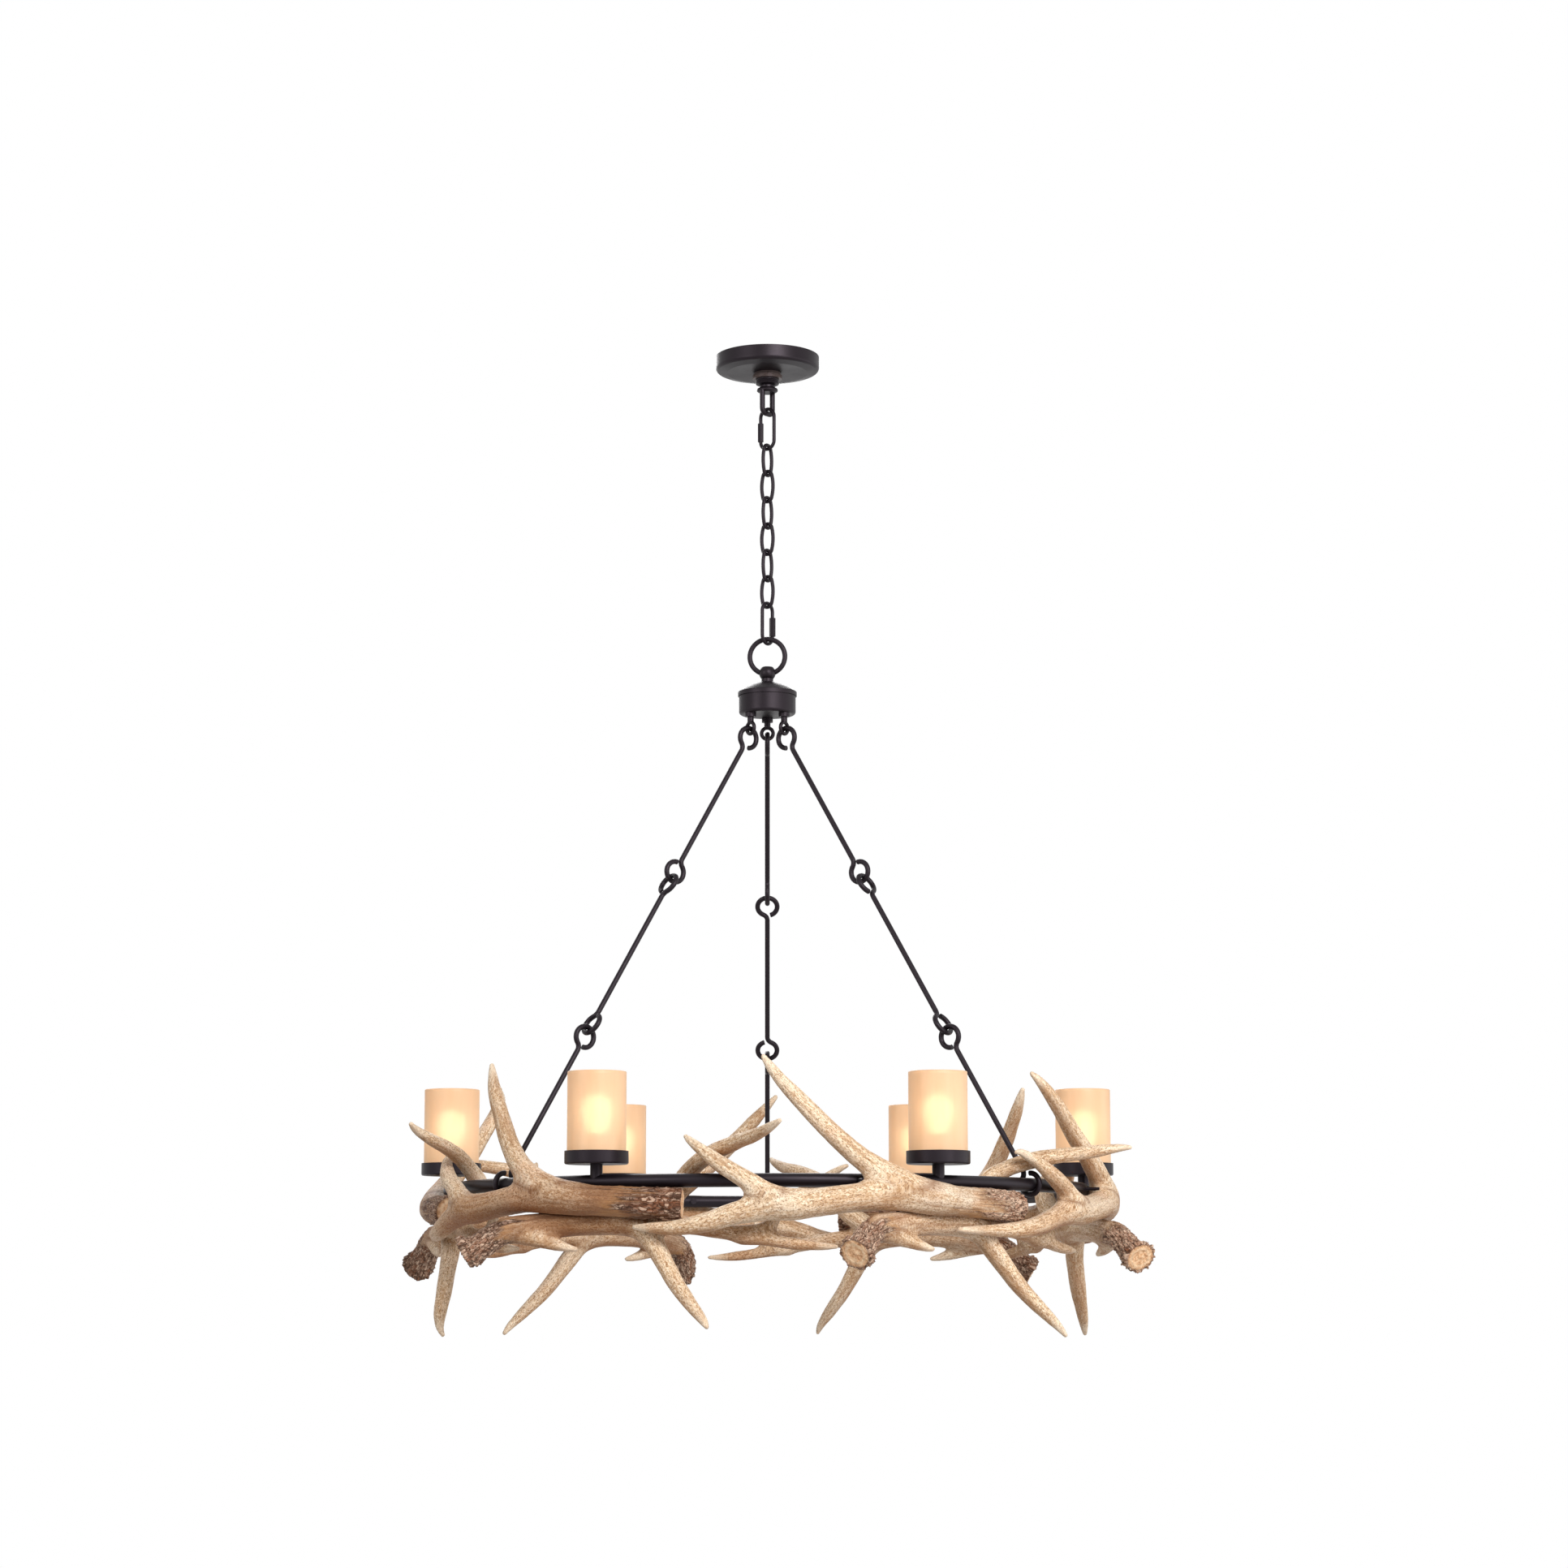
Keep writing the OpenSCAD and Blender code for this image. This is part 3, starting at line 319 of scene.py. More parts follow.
# How far the end of each branch moves on each of the six antlers, as angle, outward, up;
# the points up to the given one stay. The base of a lower antler moves the same way.
MOVES = {
    "upper": {
        "main": (6, [(2, 0, -1), (-4, -1, -3), (-2, 0, -1), (-1, 0, 0), (-3, 1, -1), (1.5, 0, -3)]),
        "long": (3, [(0, 0, 3), (0, -10, -4), (0, 2, 0), (-1, 0, 2), (3, 14, 0), (0, 0, 6)]),
        "short": (0, [(0.5, 0, 4), (0, 0, -9), (1, 3, -4), (-1.5, 4, 3), (2, 6, 0), (0, -3, -8)]),
    },
    "lower": {
        "main": (-5, [(0, 0, 8), (0, 0, 9), (0, 1, -5), (2.2, 0, -6), (0, 0, 2), (0, 2, 13)]),
        "down": (0, [(0, 0, 0), (0, 2, 0), (-1.2, 3, 0), (0, -3, 0), (1.5, -16, 0), (-1.2, 0, 10)]),
        "inner": (0, [(0, 0, -12), (1, 3, 4), (-2.2, 0, 5), (1.5, -6, -5), (0, 5, 14), (0, 0, 6)]),
    },
}
# How dark, and how reddish at the bark, each antler is stained
STAIN = {"upper": [0.0, 0.25, 0.5, 0.55, 0.6, 0.8], "lower": [0.3, 0.2, 0.6, 0.5, 0.7, 0.9]}
SHAPES = {"upper": (UPPER, UPPER_R, UPPER_WEB), "lower": (LOWER, LOWER_R, LOWER_WEB)}

# Where the bark ends and how it looks, for each kind: reach and blur along the beam in mm, cells
# per mm of its plates, and the strength of its furrows and knobs
BARK = {
    "upper": {"reach": 84.0, "blur": 34, "plates": (0.085, 0.22, 0.22), "furrow": 1.0, "knob": 0.4},
    "lower": {"reach": 76.0, "blur": 14, "plates": (0.17, 0.24, 0.24), "furrow": 0.5, "knob": 0.9},
}
# Waves per mm of the relief: along and across the grain, or the same in every direction
EDGE_WAVES, RIDGE_WAVES = (0.018, 0.20, 0.20), (0.020, 0.24, 0.24)
LINE_WAVES, FURROW_WAVES = (0.035, 0.45, 0.45), (0.030, 0.23, 0.23)
SWELL_WAVES, FINE_WAVES, KNOB_WAVES, CRACK_WARP_WAVES, FACE_WAVES = 0.030, 0.35, 0.19, 0.12, 0.3
STAIN_WAVES = (0.010, 0.010, 0.016)
# Heights in mm of the skin's swellings, ridges, lines and grit, and how much a tip loses
SWELL_H, RIDGE_H, LINE_H, FINE_H, TIP_LOSS = 0.80, 0.50, 0.18, 0.10, 0.8
# Heights in mm of the bark, the burr with its knobs and cracks, and the sawn face
BARK_H, BARK_SINK = 1.45, 0.1
BURR_H, BURR_KNOB_H, BURR_CRACK_H = 1.5, 3.0, 1.0
FACE_H, YEAR_RING_H, YEAR_RINGS = 0.55, 0.5, 9.5
# Along the beam in mm: how far the old brown reaches, the burr's middle and width, the cut
BROWN_IN, BROWN_OUT, BROWN_WANDER = 35, 235, 75
BURR_AT, BURR_WIDTH = 5.0, 4.6
CUT_DEPTH = 1.2


def moved(points, start, move):
    """The path with its end moved, or, for a negative start, its first points."""
    last = len(points) - 1
    out = []
    for i, (turn, outward, up, thick) in enumerate(points):
        if start >= 0:
            share = (max(i - start, 0) / (last - start)) ** 2.5
        else:
            share = (max(-start - i, 0) / -start) ** 2
        out.append((turn + share * move[0], outward + share * move[1], up + share * move[2], thick))
    return out


def spline(points, thick):
    """A smooth path of x, y, z and radius through a branch's points, in metres."""
    knots = []
    for turn, outward, up, factor in points:
        reach, angle = RING_R + outward * MM, math.radians(turn)
        knots.append((reach * math.sin(angle), -reach * math.cos(angle), up * MM, factor * thick))
    knots = np.array(knots)
    out = []
    n = len(knots)
    for i in range(n - 1):
        a, b, c, d = knots[max(i - 1, 0)], knots[i], knots[i + 1], knots[min(i + 2, n - 1)]
        for k in range(BRANCH_STEPS):
            t = k / BRANCH_STEPS
            out.append((2 * b + (c - a) * t + (2 * a - 5 * b + 4 * c - d) * t * t
                        + (3 * b - a - 3 * c + d) * t ** 3) / 2)
    out.append(knots[-1])
    return np.array(out)


def frames_along(path):
    """Two side directions at each point of a path, and its length up to there."""
    middle = path[:, :3]
    ahead = np.gradient(middle, axis=0)
    ahead /= np.linalg.norm(ahead, axis=1)[:, None]
    sides = np.zeros_like(ahead)
    turned = np.cross(ahead[0], (0.3, 0.2, 1.0))
    for i in range(len(ahead)):
        turned = turned - (turned @ ahead[i]) * ahead[i]
        turned /= np.linalg.norm(turned)
        sides[i] = turned
    length = np.concatenate([[0], np.cumsum(np.linalg.norm(np.diff(middle, axis=0), axis=1))])
    return sides, np.cross(ahead, sides), length


def nearest(path, spots):
    """For each spot: distance to the branch's surface, place along it, two side offsets,
    the branch's radius there, and the whole length."""
    sides_a, sides_b, length = frames_along(path)
    best = np.full(len(spots), 1e9)
    along, side_a, side_b, radius = (np.zeros(len(spots)) for _ in range(4))
    for i in range(len(path) - 1):
        a, b = path[i, :3], path[i + 1, :3]
        ab = b - a
        t = np.clip(((spots - a) @ ab) / (ab @ ab), 0, 1)
        thick = path[i, 3] + t * (path[i + 1, 3] - path[i, 3])
        off = spots - a - t[:, None] * ab
        gap = np.linalg.norm(off, axis=1) - thick
        closer = gap < best
        best[closer] = gap[closer]
        along[closer] = (length[i] + t * (length[i + 1] - length[i]))[closer]
        dir_a = sides_a[i] + t[:, None] * (sides_a[i + 1] - sides_a[i])
        dir_b = sides_b[i] + t[:, None] * (sides_b[i + 1] - sides_b[i])
        side_a[closer] = (off * dir_a).sum(1)[closer]
        side_b[closer] = (off * dir_b).sum(1)[closer]
        radius[closer] = thick[closer]
    return best, along, side_a, side_b, radius, length[-1]


def grid_points(low, first, last, h):
    """The points of a block of the grid."""
    axes = [low[k] + h * np.arange(first[k], last[k]) for k in range(3)]
    return np.stack(np.meshgrid(*axes, indexing="ij"), -1)


def branch_field(path, low, count, web, h):
    """Distances from the surface of one branch on the grid."""
    field = np.full(count, FAR, np.float32)
    for a, b in zip(path[:-1], path[1:]):
        margin = max(a[3], b[3]) + web
        first = np.floor((np.minimum(a[:3], b[:3]) - margin - low) / h).astype(int)
        first = np.maximum(first, 0)
        last = np.ceil((np.maximum(a[:3], b[:3]) + margin - low) / h).astype(int) + 1
        last = np.minimum(last, count)
        ab = b[:3] - a[:3]
        q = grid_points(low, first, last, h) - a[:3]
        t = np.clip((q @ ab) / (ab @ ab), 0, 1)
        d = np.linalg.norm(q - t[..., None] * ab, axis=-1) - (a[3] + t * (b[3] - a[3]))
        part = tuple(slice(first[k], last[k]) for k in range(3))
        field[part] = np.minimum(field[part], d)
    return field


def antler_base(kind):
    """The plain antler: branches joined by webs, with a flat cut across the beam's base."""
    branches, thick, web = SHAPES[kind]
    h = CELL
    paths = {k: spline(v, thick) for k, v in branches.items()}
    points = np.concatenate(list(paths.values()))
    room = 3 * h + 0.5 * web
    low = (points[:, :3] - points[:, 3:4]).min(0) - room
    high = (points[:, :3] + points[:, 3:4]).max(0) + room
    count = np.ceil((high - low) / h).astype(int) + 1
    field = None
    for path in paths.values():
        branch = branch_field(path, low, count, web, h)
        if field is None:
            field = branch
        else:
            e = np.maximum(web - np.abs(field - branch), 0) / web
            field = np.minimum(field, branch) - e * e * web / 4
    base, inward = paths["main"][0], paths["main"][1]
    cut = (base[:3] - inward[:3]) / np.linalg.norm(base[:3] - inward[:3])
    from_base = grid_points(low, (0, 0, 0), count, h) - base[:3]
    near = np.linalg.norm(from_base, axis=-1) < base[3] * CUT_REACH
    field = np.where(near, np.maximum(field, from_base @ cut), field)
    verts, quads = surface_nets(field, low, h)
    verts = relax(verts, quads, EVEN_TIMES, EVEN_SHARE)
    info = {k: nearest(p, verts) for k, p in paths.items()}
    return verts, quads, paths, info


def branch_shares(info):
    """How much each branch owns each point. The shares of a point add up to 1."""
    best = np.min([near[0] for near in info.values()], axis=0)
    pull = {k: np.exp(-(near[0] - best) / BRANCH_BLEND) for k, near in info.items()}
    total = sum(pull.values())
    return {k: w / total for k, w in pull.items()}


def bent(verts, kind, number, paths, info, share):
    """The antler with its branches bent as this one has them."""
    points, thick, _ = SHAPES[kind]
    verts = verts.copy()
    for k, (start, moves) in MOVES[kind].items():
        target = spline(moved(points[k], start, moves[number]), thick)
        length = frames_along(paths[k])[2]
        shift = (target - paths[k])[:, :3]
        along = info[k][1]
        verts += share[k][:, None] * np.stack([np.interp(along, length, shift[:, c])
                                               for c in range(3)], 1)
    return verts


def grain_and_tips(paths, info, share):
    """Coordinates that run along the antler, in metres, and 1 at the tips of its branches."""
    n = len(share["main"])
    grain = np.zeros((n, 3))
    tip = np.zeros(n)
    for k, (_, along, side_a, side_b, _, length) in info.items():
        start = 0.0
        if k != "main":
            start = nearest(paths["main"], paths[k][:1, :3])[1][0]
        grain += share[k][:, None] * np.stack([along + start, side_a, side_b], 1)
        tip += share[k] * (1 - smoothstep(TIP_FULL, TIP_START, length - along))
    return grain, tip


def antler_relief(kind, place, grain, info, share, tip, seed):
    """Height of the skin, from coordinates in space and along the antler, all in mm, and
    the masks that the material reads."""
    look = BARK[kind]
    burr = kind == "lower"
    _, along, side_a, side_b, radius, _ = info["main"]
    on_beam = share["main"]
    from_base = along * 1000
    rim = np.hypot(side_a, side_b) / radius
    edge = fbm(grain * EDGE_WAVES + seed, seed, 3)
    blur = look["blur"]
    ragged = from_base + 2.2 * blur * edge
    bark = on_beam * (1 - smoothstep(look["reach"] - 3 * blur, look["reach"] + blur, ragged))
    brown = on_beam * (1 - smoothstep(BROWN_IN, BROWN_OUT, from_base + BROWN_WANDER * edge))
    # long ridges and shallow swellings over the whole antler
    swell = fbm(place * SWELL_WAVES + seed * 3.1, seed + 5, 2)
    ridge = fbm(grain * RIDGE_WAVES + seed * 1.7, seed + 9, 3)
    lines = 1 - 2 * np.abs(noise(grain * LINE_WAVES + seed, seed + 12))
    fine = fbm(place * FINE_WAVES, seed + 31, 2)
    body = 1 - TIP_LOSS * tip
    height = SWELL_H * swell * body + RIDGE_H * ridge * body + LINE_H * lines * body + FINE_H * fine
    # furrowed, pebbly bark near the base
    crack = np.zeros(len(place))
    rind = bark > 0.01
    warp = 0.6 * fbm(place[rind] * CRACK_WARP_WAVES, seed + 3, 2)[:, None]
    first, second = cracks(grain[rind] * look["plates"] + warp + seed, seed)
    crack[rind] = smoothstep(0.0, 0.42, second - first) - 0.5
    furrow = 1 - 2.1 * np.abs(fbm(grain * FURROW_WAVES + seed, seed + 15, 2))
    knob = fbm(place * KNOB_WAVES + seed, seed + 21, 2)
    rough = 0.5 * swell + look["furrow"] * furrow + 0.95 * crack + look["knob"] * knob
    height = height * (1 - bark) + bark * (BARK_H * rough - BARK_SINK)
    # the knobbly burr round the base of a lower antler
    if burr:
        ring = on_beam * np.exp(-((from_base - BURR_AT) / BURR_WIDTH) ** 2)
        bumps = BURR_H + BURR_KNOB_H * knob + BURR_CRACK_H * crack
        height += ring * smoothstep(0.55, 0.9, rim) * bumps
    # the sawn face at the base, with faint year rings
    end = on_beam * (1 - smoothstep(0.0, CUT_DEPTH, from_base))
    face = end * (1 - smoothstep(0.78, 0.97, rim))
    rings = YEAR_RING_H * np.cos(rim * YEAR_RINGS + 1.2 * knob)
    rings = FACE_H * noise(place * FACE_WAVES, seed + 40) + rings
    height = height * (1 - face) + face * rings
    # how high or deep each point lies in the relief; from it the material paints shade in the hollows and lighter
    # ridges, on the skin partly wear and partly painted highlight, on the bark painted highlight
    cavity = np.where(bark > 0.35, 0.9 * crack + 0.25 * furrow,
                      0.6 * ridge + 0.28 * lines + 0.2 * fine)
    return height, {"bark": bark, "tip": tip, "hollow": cavity, "cut": face, "rim": rim,
                    "brown": brown}


def build_antler(name, node, kind, number, base, turn, seed, material):
    """One antler: the plain one, bent its own way, turned to its place and given its skin."""
    verts, quads, paths, info = base
    share = branch_shares(info)
    verts = bent(verts, kind, number, paths, info, share)
    normals = vertex_normals(verts, quads)
    grain, tip = grain_and_tips(paths, info, share)
    cosine, sine = math.cos(math.radians(turn)), math.sin(math.radians(turn))
    rotation = np.array([[cosine, -sine, 0], [sine, cosine, 0], [0, 0, 1]])
    verts = verts @ rotation.T
    normals = normals @ rotation.T
    place = verts * 1000.0
    height, masks = antler_relief(kind, place, grain * 1000.0, info, share, tip, seed)
    verts = verts + normals * (height * MM)[:, None]
    verts[:, 2] += RING_Z
    ob = new_object(name, verts, quads, "antler_ring", node)
    # the crotches between branches, where the material lays a rusty stain that also paints the shade there, the
    # undersides, where it paints shade, and a stain that comes in patches
    between = 1 - np.max(list(share.values()), axis=0)
    fold = smoothstep(0.35, 0.95, between) + 0.6 * smoothstep(0.1, 0.5, between)
    masks["fold"] = np.clip(fold, 0, 1)
    masks["under"] = smoothstep(0.15, -0.85, normals[:, 2])
    patch = 0.5 + 1.6 * fbm(place * STAIN_WAVES + seed * 1.9, seed + 51, 2)
    patch = np.clip(0.55 + 0.6 * patch, 0.3, 1.3)
    masks["stain"] = STAIN[kind][number] * (0.25 + 0.75 * share["main"]) * patch * (1 - 0.6 * tip)
    for mask, values in masks.items():
        at = ob.data.attributes.new(mask, "FLOAT", "POINT")
        at.data.foreach_set("value", values.astype(np.float32))
    add_vectors(ob.data, "grain", grain + np.array([seed * 0.37, 0, 0]))
    ob.data.materials.append(material)


# Materials
# The numbers of a mix node's two colour inputs and of its colour output
COLOR_A, COLOR_B, COLOR_OUT = 6, 7, 2


class Nodes:
    """A Principled material, with short calls for the nodes that feed it."""

    def __init__(self, name):
        self.mat = bpy.data.materials.new(name)
        self.mat.use_nodes = True
        self.tree = self.mat.node_tree
        self.bsdf = next(n for n in self.tree.nodes if n.type == "BSDF_PRINCIPLED")
        self.out = next(n for n in self.tree.nodes if n.type == "OUTPUT_MATERIAL")

    def add(self, kind, **props):
        n = self.tree.nodes.new(kind)
        for k, v in props.items():
            setattr(n, k, v)
        return n

    def link(self, a, b):
        self.tree.links.new(a, b)

    def attr(self, name, vector=False):
        n = self.add("ShaderNodeAttribute", attribute_name=name)
        return n.outputs["Vector" if vector else "Fac"]

    def coords(self):
        return self.add("ShaderNodeTexCoord").outputs["Object"]

    def scaled(self, vec, scale):
        n = self.add("ShaderNodeMapping")
        n.inputs["Scale"].default_value = scale
        self.link(vec, n.inputs["Vector"])
        return n.outputs[0]

    def noise(self, vec, scale, detail=4, rough=0.5, distort=0.0, color=False):
        n = self.add("ShaderNodeTexNoise")
        n.inputs["Scale"].default_value = scale
        n.inputs["Detail"].default_value = detail
        n.inputs["Roughness"].default_value = rough
        n.inputs["Distortion"].default_value = distort
        self.link(vec, n.inputs["Vector"])
        return n.outputs["Color" if color else "Fac"]

    def voronoi(self, vec, scale, feature, out):
        n = self.add("ShaderNodeTexVoronoi", feature=feature)
        n.inputs["Scale"].default_value = scale
        self.link(vec, n.inputs["Vector"])
        return n.outputs[out]

    def warped(self, vec, amount, scale):
        n = self.add("ShaderNodeVectorMath", operation="MULTIPLY_ADD")
        self.link(self.noise(vec, scale, 2, color=True), n.inputs[0])
        n.inputs[1].default_value = (amount, amount, amount)
        self.link(vec, n.inputs[2])
        return n.outputs[0]

    def ramp(self, fac, stops):
        n = self.add("ShaderNodeValToRGB")
        elements = n.color_ramp.elements
        while len(elements) < len(stops):
            elements.new(0.5)
        for e, (place, color) in zip(elements, stops):
            e.position = place
            e.color = (*color, 1)
        self.link(fac, n.inputs["Fac"])
        return n.outputs["Color"]

    def span(self, fac, a, b, lo=0.0, hi=1.0):
        """lo at a, hi at b, and smooth between."""
        n = self.add("ShaderNodeMapRange", interpolation_type="SMOOTHSTEP")
        n.inputs["From Min"].default_value = a
        n.inputs["From Max"].default_value = b
        n.inputs["To Min"].default_value = lo
        n.inputs["To Max"].default_value = hi
        self.link(fac, n.inputs["Value"])
        return n.outputs["Result"]

    def mix(self, fac, a, b, blend="MIX"):
        n = self.add("ShaderNodeMix", data_type="RGBA", blend_type=blend)
        if isinstance(fac, (int, float)):
            n.inputs["Factor"].default_value = fac
        else:
            self.link(fac, n.inputs["Factor"])
        for src, i in ((a, COLOR_A), (b, COLOR_B)):
            if isinstance(src, tuple):
                n.inputs[i].default_value = (*src, 1)
            else:
                self.link(src, n.inputs[i])
        return n.outputs[COLOR_OUT]

    def math(self, op, a, b=None):
        n = self.add("ShaderNodeMath", operation=op)
        for i, src in enumerate((a, b)):
            if src is None:
                continue
            if isinstance(src, (int, float)):
                n.inputs[i].default_value = src
            else:
                self.link(src, n.inputs[i])
        return n.outputs[0]

    def bump(self, height, distance, strength, below=None):
        n = self.add("ShaderNodeBump")
        n.inputs["Distance"].default_value = distance
        n.inputs["Strength"].default_value = strength
        self.link(height, n.inputs["Height"])
        if below is not None:
            self.link(below, n.inputs["Normal"])
        return n.outputs["Normal"]

    def set(self, **plain):
        """Plain values for the shader's own sockets."""
        for k, v in plain.items():
            self.bsdf.inputs[k.replace("_", " ")].default_value = v

    def finish(self, color, rough, normal=None):
        sockets = self.bsdf.inputs
        self.link(color, sockets["Base Color"])
        if isinstance(rough, (int, float)):
            sockets["Roughness"].default_value = rough
        else:
            self.link(rough, sockets["Roughness"])
        if normal is not None:
            self.link(normal, sockets["Normal"])
        return self.mat


# Colours of the antlers, from dark to light along each noise
SKIN_TONES = [(0.35, (0.21, 0.10, 0.042)), (0.44, (0.54, 0.34, 0.185)),
              (0.50, (0.75, 0.545, 0.355)), (0.56, (0.86, 0.695, 0.505)),
              (0.64, (0.95, 0.85, 0.70))]
DARK_BARK = [(0.30, (0.028, 0.013, 0.009)), (0.43, (0.085, 0.040, 0.026)),
             (0.54, (0.17, 0.088, 0.058)), (0.64, (0.34, 0.205, 0.145)),
             (0.76, (0.66, 0.50, 0.38))]
PALE_BARK = [(0.33, (0.12, 0.050, 0.028)), (0.43, (0.36, 0.185, 0.115)),
             (0.53, (0.63, 0.400, 0.275)), (0.64, (0.93, 0.75, 0.58))]
SAWN_FACE = [(0.34, (0.45, 0.205, 0.095)), (0.5, (0.84, 0.495, 0.275)),
             (0.66, (1.0, 0.745, 0.49))]
CREAM, TAN, PINK = (0.87, 0.74, 0.58), (0.52, 0.31, 0.165), (0.74, 0.47, 0.33)
STREAK_BROWN, STREAK_PALE = (0.40, 0.215, 0.105), (0.89, 0.76, 0.60)
GROOVE_SHADE, RIDGE_WEAR_AND_HIGHLIGHT = (0.34, 0.175, 0.08), (0.88, 0.76, 0.60)
CROTCH_RUST_AND_SHADE, UNDERSIDE_SHADE, SPECK = (0.19, 0.070, 0.022), (0.33, 0.155, 0.068), (0.21, 0.095, 0.042)
TIP_IVORY, STAIN_TINT, OLD_BROWN = (0.86, 0.74, 0.59), (0.54, 0.32, 0.175), (0.20, 0.095, 0.050)
BARK_RUST, BARK_CHIP, BARK_RIDGE_HIGHLIGHT = (0.25, 0.085, 0.035), (0.70, 0.50, 0.37), (0.50, 0.34, 0.25)
BARK_SPLIT, BARK_HOLLOW_SHADE = (0.040, 0.018, 0.011), (0.048, 0.021, 0.012)
OCHRE, FACE_RING, FACE_RIM = (0.47, 0.235, 0.095), (0.96, 0.74, 0.50), (0.30, 0.15, 0.08)

# Noises drawn out along the grain: cells per metre along and across, detail, roughness, swirl
GRAIN_NOISE = {
    "fleck": ((250, 500, 500), 8, 0.76, 0.2),
    "cloud": ((9, 26, 26), 4, 0.58, 0.0),
    "blush": ((19, 31, 31), 3, 0.5, 0.0),
    "streak": ((24, 460, 460), 6, 0.66, 0.25),
    "speck": ((430, 800, 800), 3, 0.65, 0.0),
    "pebble": ((130, 360, 360), 7, 0.72, 0.5),
    "rusty": ((22, 70, 70), 3, 0.5, 0.0),
    "saw": ((260, 260, 260), 6, 0.7, 0.0),
}
MASKS = ("bark", "tip", "hollow", "cut", "fold", "rim", "stain", "brown", "under")
PLATE_CELLS, PLATE_WARP = (115, 360, 360), 2.0
# Layers over the first colour: the noise or mask, where the layer starts, where it is full,
# how strong it is there, and its colour
SKIN_LAYERS = [
    ("cloud", 0.50, 0.64, 0.50, CREAM),
    ("cloud", 0.48, 0.34, 0.55, TAN),
    ("blush", 0.52, 0.68, 0.30, PINK),
    ("streak", 0.53, 0.64, 0.55, STREAK_BROWN),
    ("streak", 0.46, 0.33, 0.34, STREAK_PALE),
    # painted shade in the grooves of the relief
    ("hollow", 0.02, -0.50, 0.55, GROOVE_SHADE),
    # paler on the ridges of the relief, partly wear and partly painted highlight
    ("hollow", 0.10, 0.45, 0.38, RIDGE_WEAR_AND_HIGHLIGHT),
]
BARK_LAYERS = [
    # painted highlight on the bark's raised ridges
    ("hollow", 0.20, 0.55, 0.40, BARK_RIDGE_HIGHLIGHT),
    ("split", 0.10, 0.0, 0.85, BARK_SPLIT),
    # painted shade in the bark's hollows
    ("hollow", -0.02, -0.42, 0.78, BARK_HOLLOW_SHADE),
]
CROTCH_RUST_AND_SHADE_SHARE, TIP_SHARE, STAIN_SHARE = 0.92, 0.38, 0.78
BORDER_WANDER = 1.3
# Bumps one over the other: the noise, its depth in metres and its strength
HORN_BUMPS = [("fleck", 0.0008, 0.5), ("streak", 0.0008, 0.4), ("pebbles", 0.0012, 0.6),
              ("splits", 0.0009, 0.6)]


def layered(m, look, color, layers):
    for source, start, full, strength, tone in layers:
        color = m.mix(m.span(look[source], start, full, 0.0, strength), color, tone)
    return color


def antler_skin(m, look):
    """Mottled horn with streaks, dark specks, painted shade in the grooves, paler ridges that are partly wear and
    partly painted highlight, a rusty stain in the crotches that also paints the shade there, painted shade on the
    undersides, and brown near the bark.
    """
    skin = layered(m, look, m.ramp(look["fleck"], SKIN_TONES), SKIN_LAYERS)
    # a rusty stain in the crotches between branches, which also paints the shade that falls there
    crotch_rust_and_shade = m.math("MULTIPLY", look["fold"], m.span(look["blush"], 0.40, 0.56))
    skin = m.mix(m.math("MULTIPLY", crotch_rust_and_shade, CROTCH_RUST_AND_SHADE_SHARE), skin, CROTCH_RUST_AND_SHADE)
    # painted shade: the undersides of the branches are darkened, more in some patches than in others
    underside_shade = m.math("MULTIPLY", look["under"], m.span(look["cloud"], 0.60, 0.40, 0.25, 0.75))
    skin = m.mix(underside_shade, skin, UNDERSIDE_SHADE)
    skin = m.mix(m.span(look["speck"], 0.54, 0.61, 0.0, 0.72), skin, SPECK)
    skin = m.mix(m.math("MULTIPLY", m.span(look["tip"], 0.3, 1.0), TIP_SHARE), skin, TIP_IVORY)
    skin = m.mix(m.math("MULTIPLY", look["stain"], STAIN_SHARE), skin, STAIN_TINT, "MULTIPLY")
    old = m.math("MULTIPLY", look["brown"], m.span(look["stain"], 0.0, 0.8, 0.40, 1.0))
    old = m.math("MULTIPLY", old, m.span(look["streak"], 0.38, 0.55, 0.50, 1.0))
    skin = m.mix(old, skin, OLD_BROWN)
    near_bark = m.span(look["bark"], 0.0, 0.30)
    ochre = m.math("MULTIPLY", near_bark, m.span(look["blush"], 0.46, 0.60, 0.0, 0.50))
    return m.mix(ochre, skin, OCHRE)


def antler_bark(m, look, plates):
    """Long plates with pale chips between dark cracks, painted highlight on the raised ridges and painted shade in
    the hollows.
    """
    dark = m.ramp(look["pebble"], DARK_BARK)
    pale = m.ramp(look["pebble"], PALE_BARK)
    crust = m.mix(m.span(look["stain"], 0.10, 0.80), pale, dark)
    crust = m.mix(m.span(look["rusty"], 0.50, 0.66, 0.0, 0.60), crust, BARK_RUST)
    chosen = m.span(m.voronoi(plates, 1.0, "F1", "Color"), 0.56, 0.68)
    chip = m.math("MULTIPLY", chosen, m.span(look["split"], 0.06, 0.20, 0.0, 0.62))
    return layered(m, look, m.mix(chip, crust, BARK_CHIP), BARK_LAYERS)


def sawn_face(m, look):
    """The cut end of the beam: a pale ring inside a dark rim."""
    face = m.ramp(look["saw"], SAWN_FACE)
    from_ring = m.math("ABSOLUTE", m.math("SUBTRACT", look["rim"], 0.60))
    face = m.mix(m.span(from_ring, 0.14, 0.02, 0.0, 0.45), face, FACE_RING)
    return m.mix(m.span(look["rim"], 0.72, 0.92, 0.0, 0.6), face, FACE_RIM)


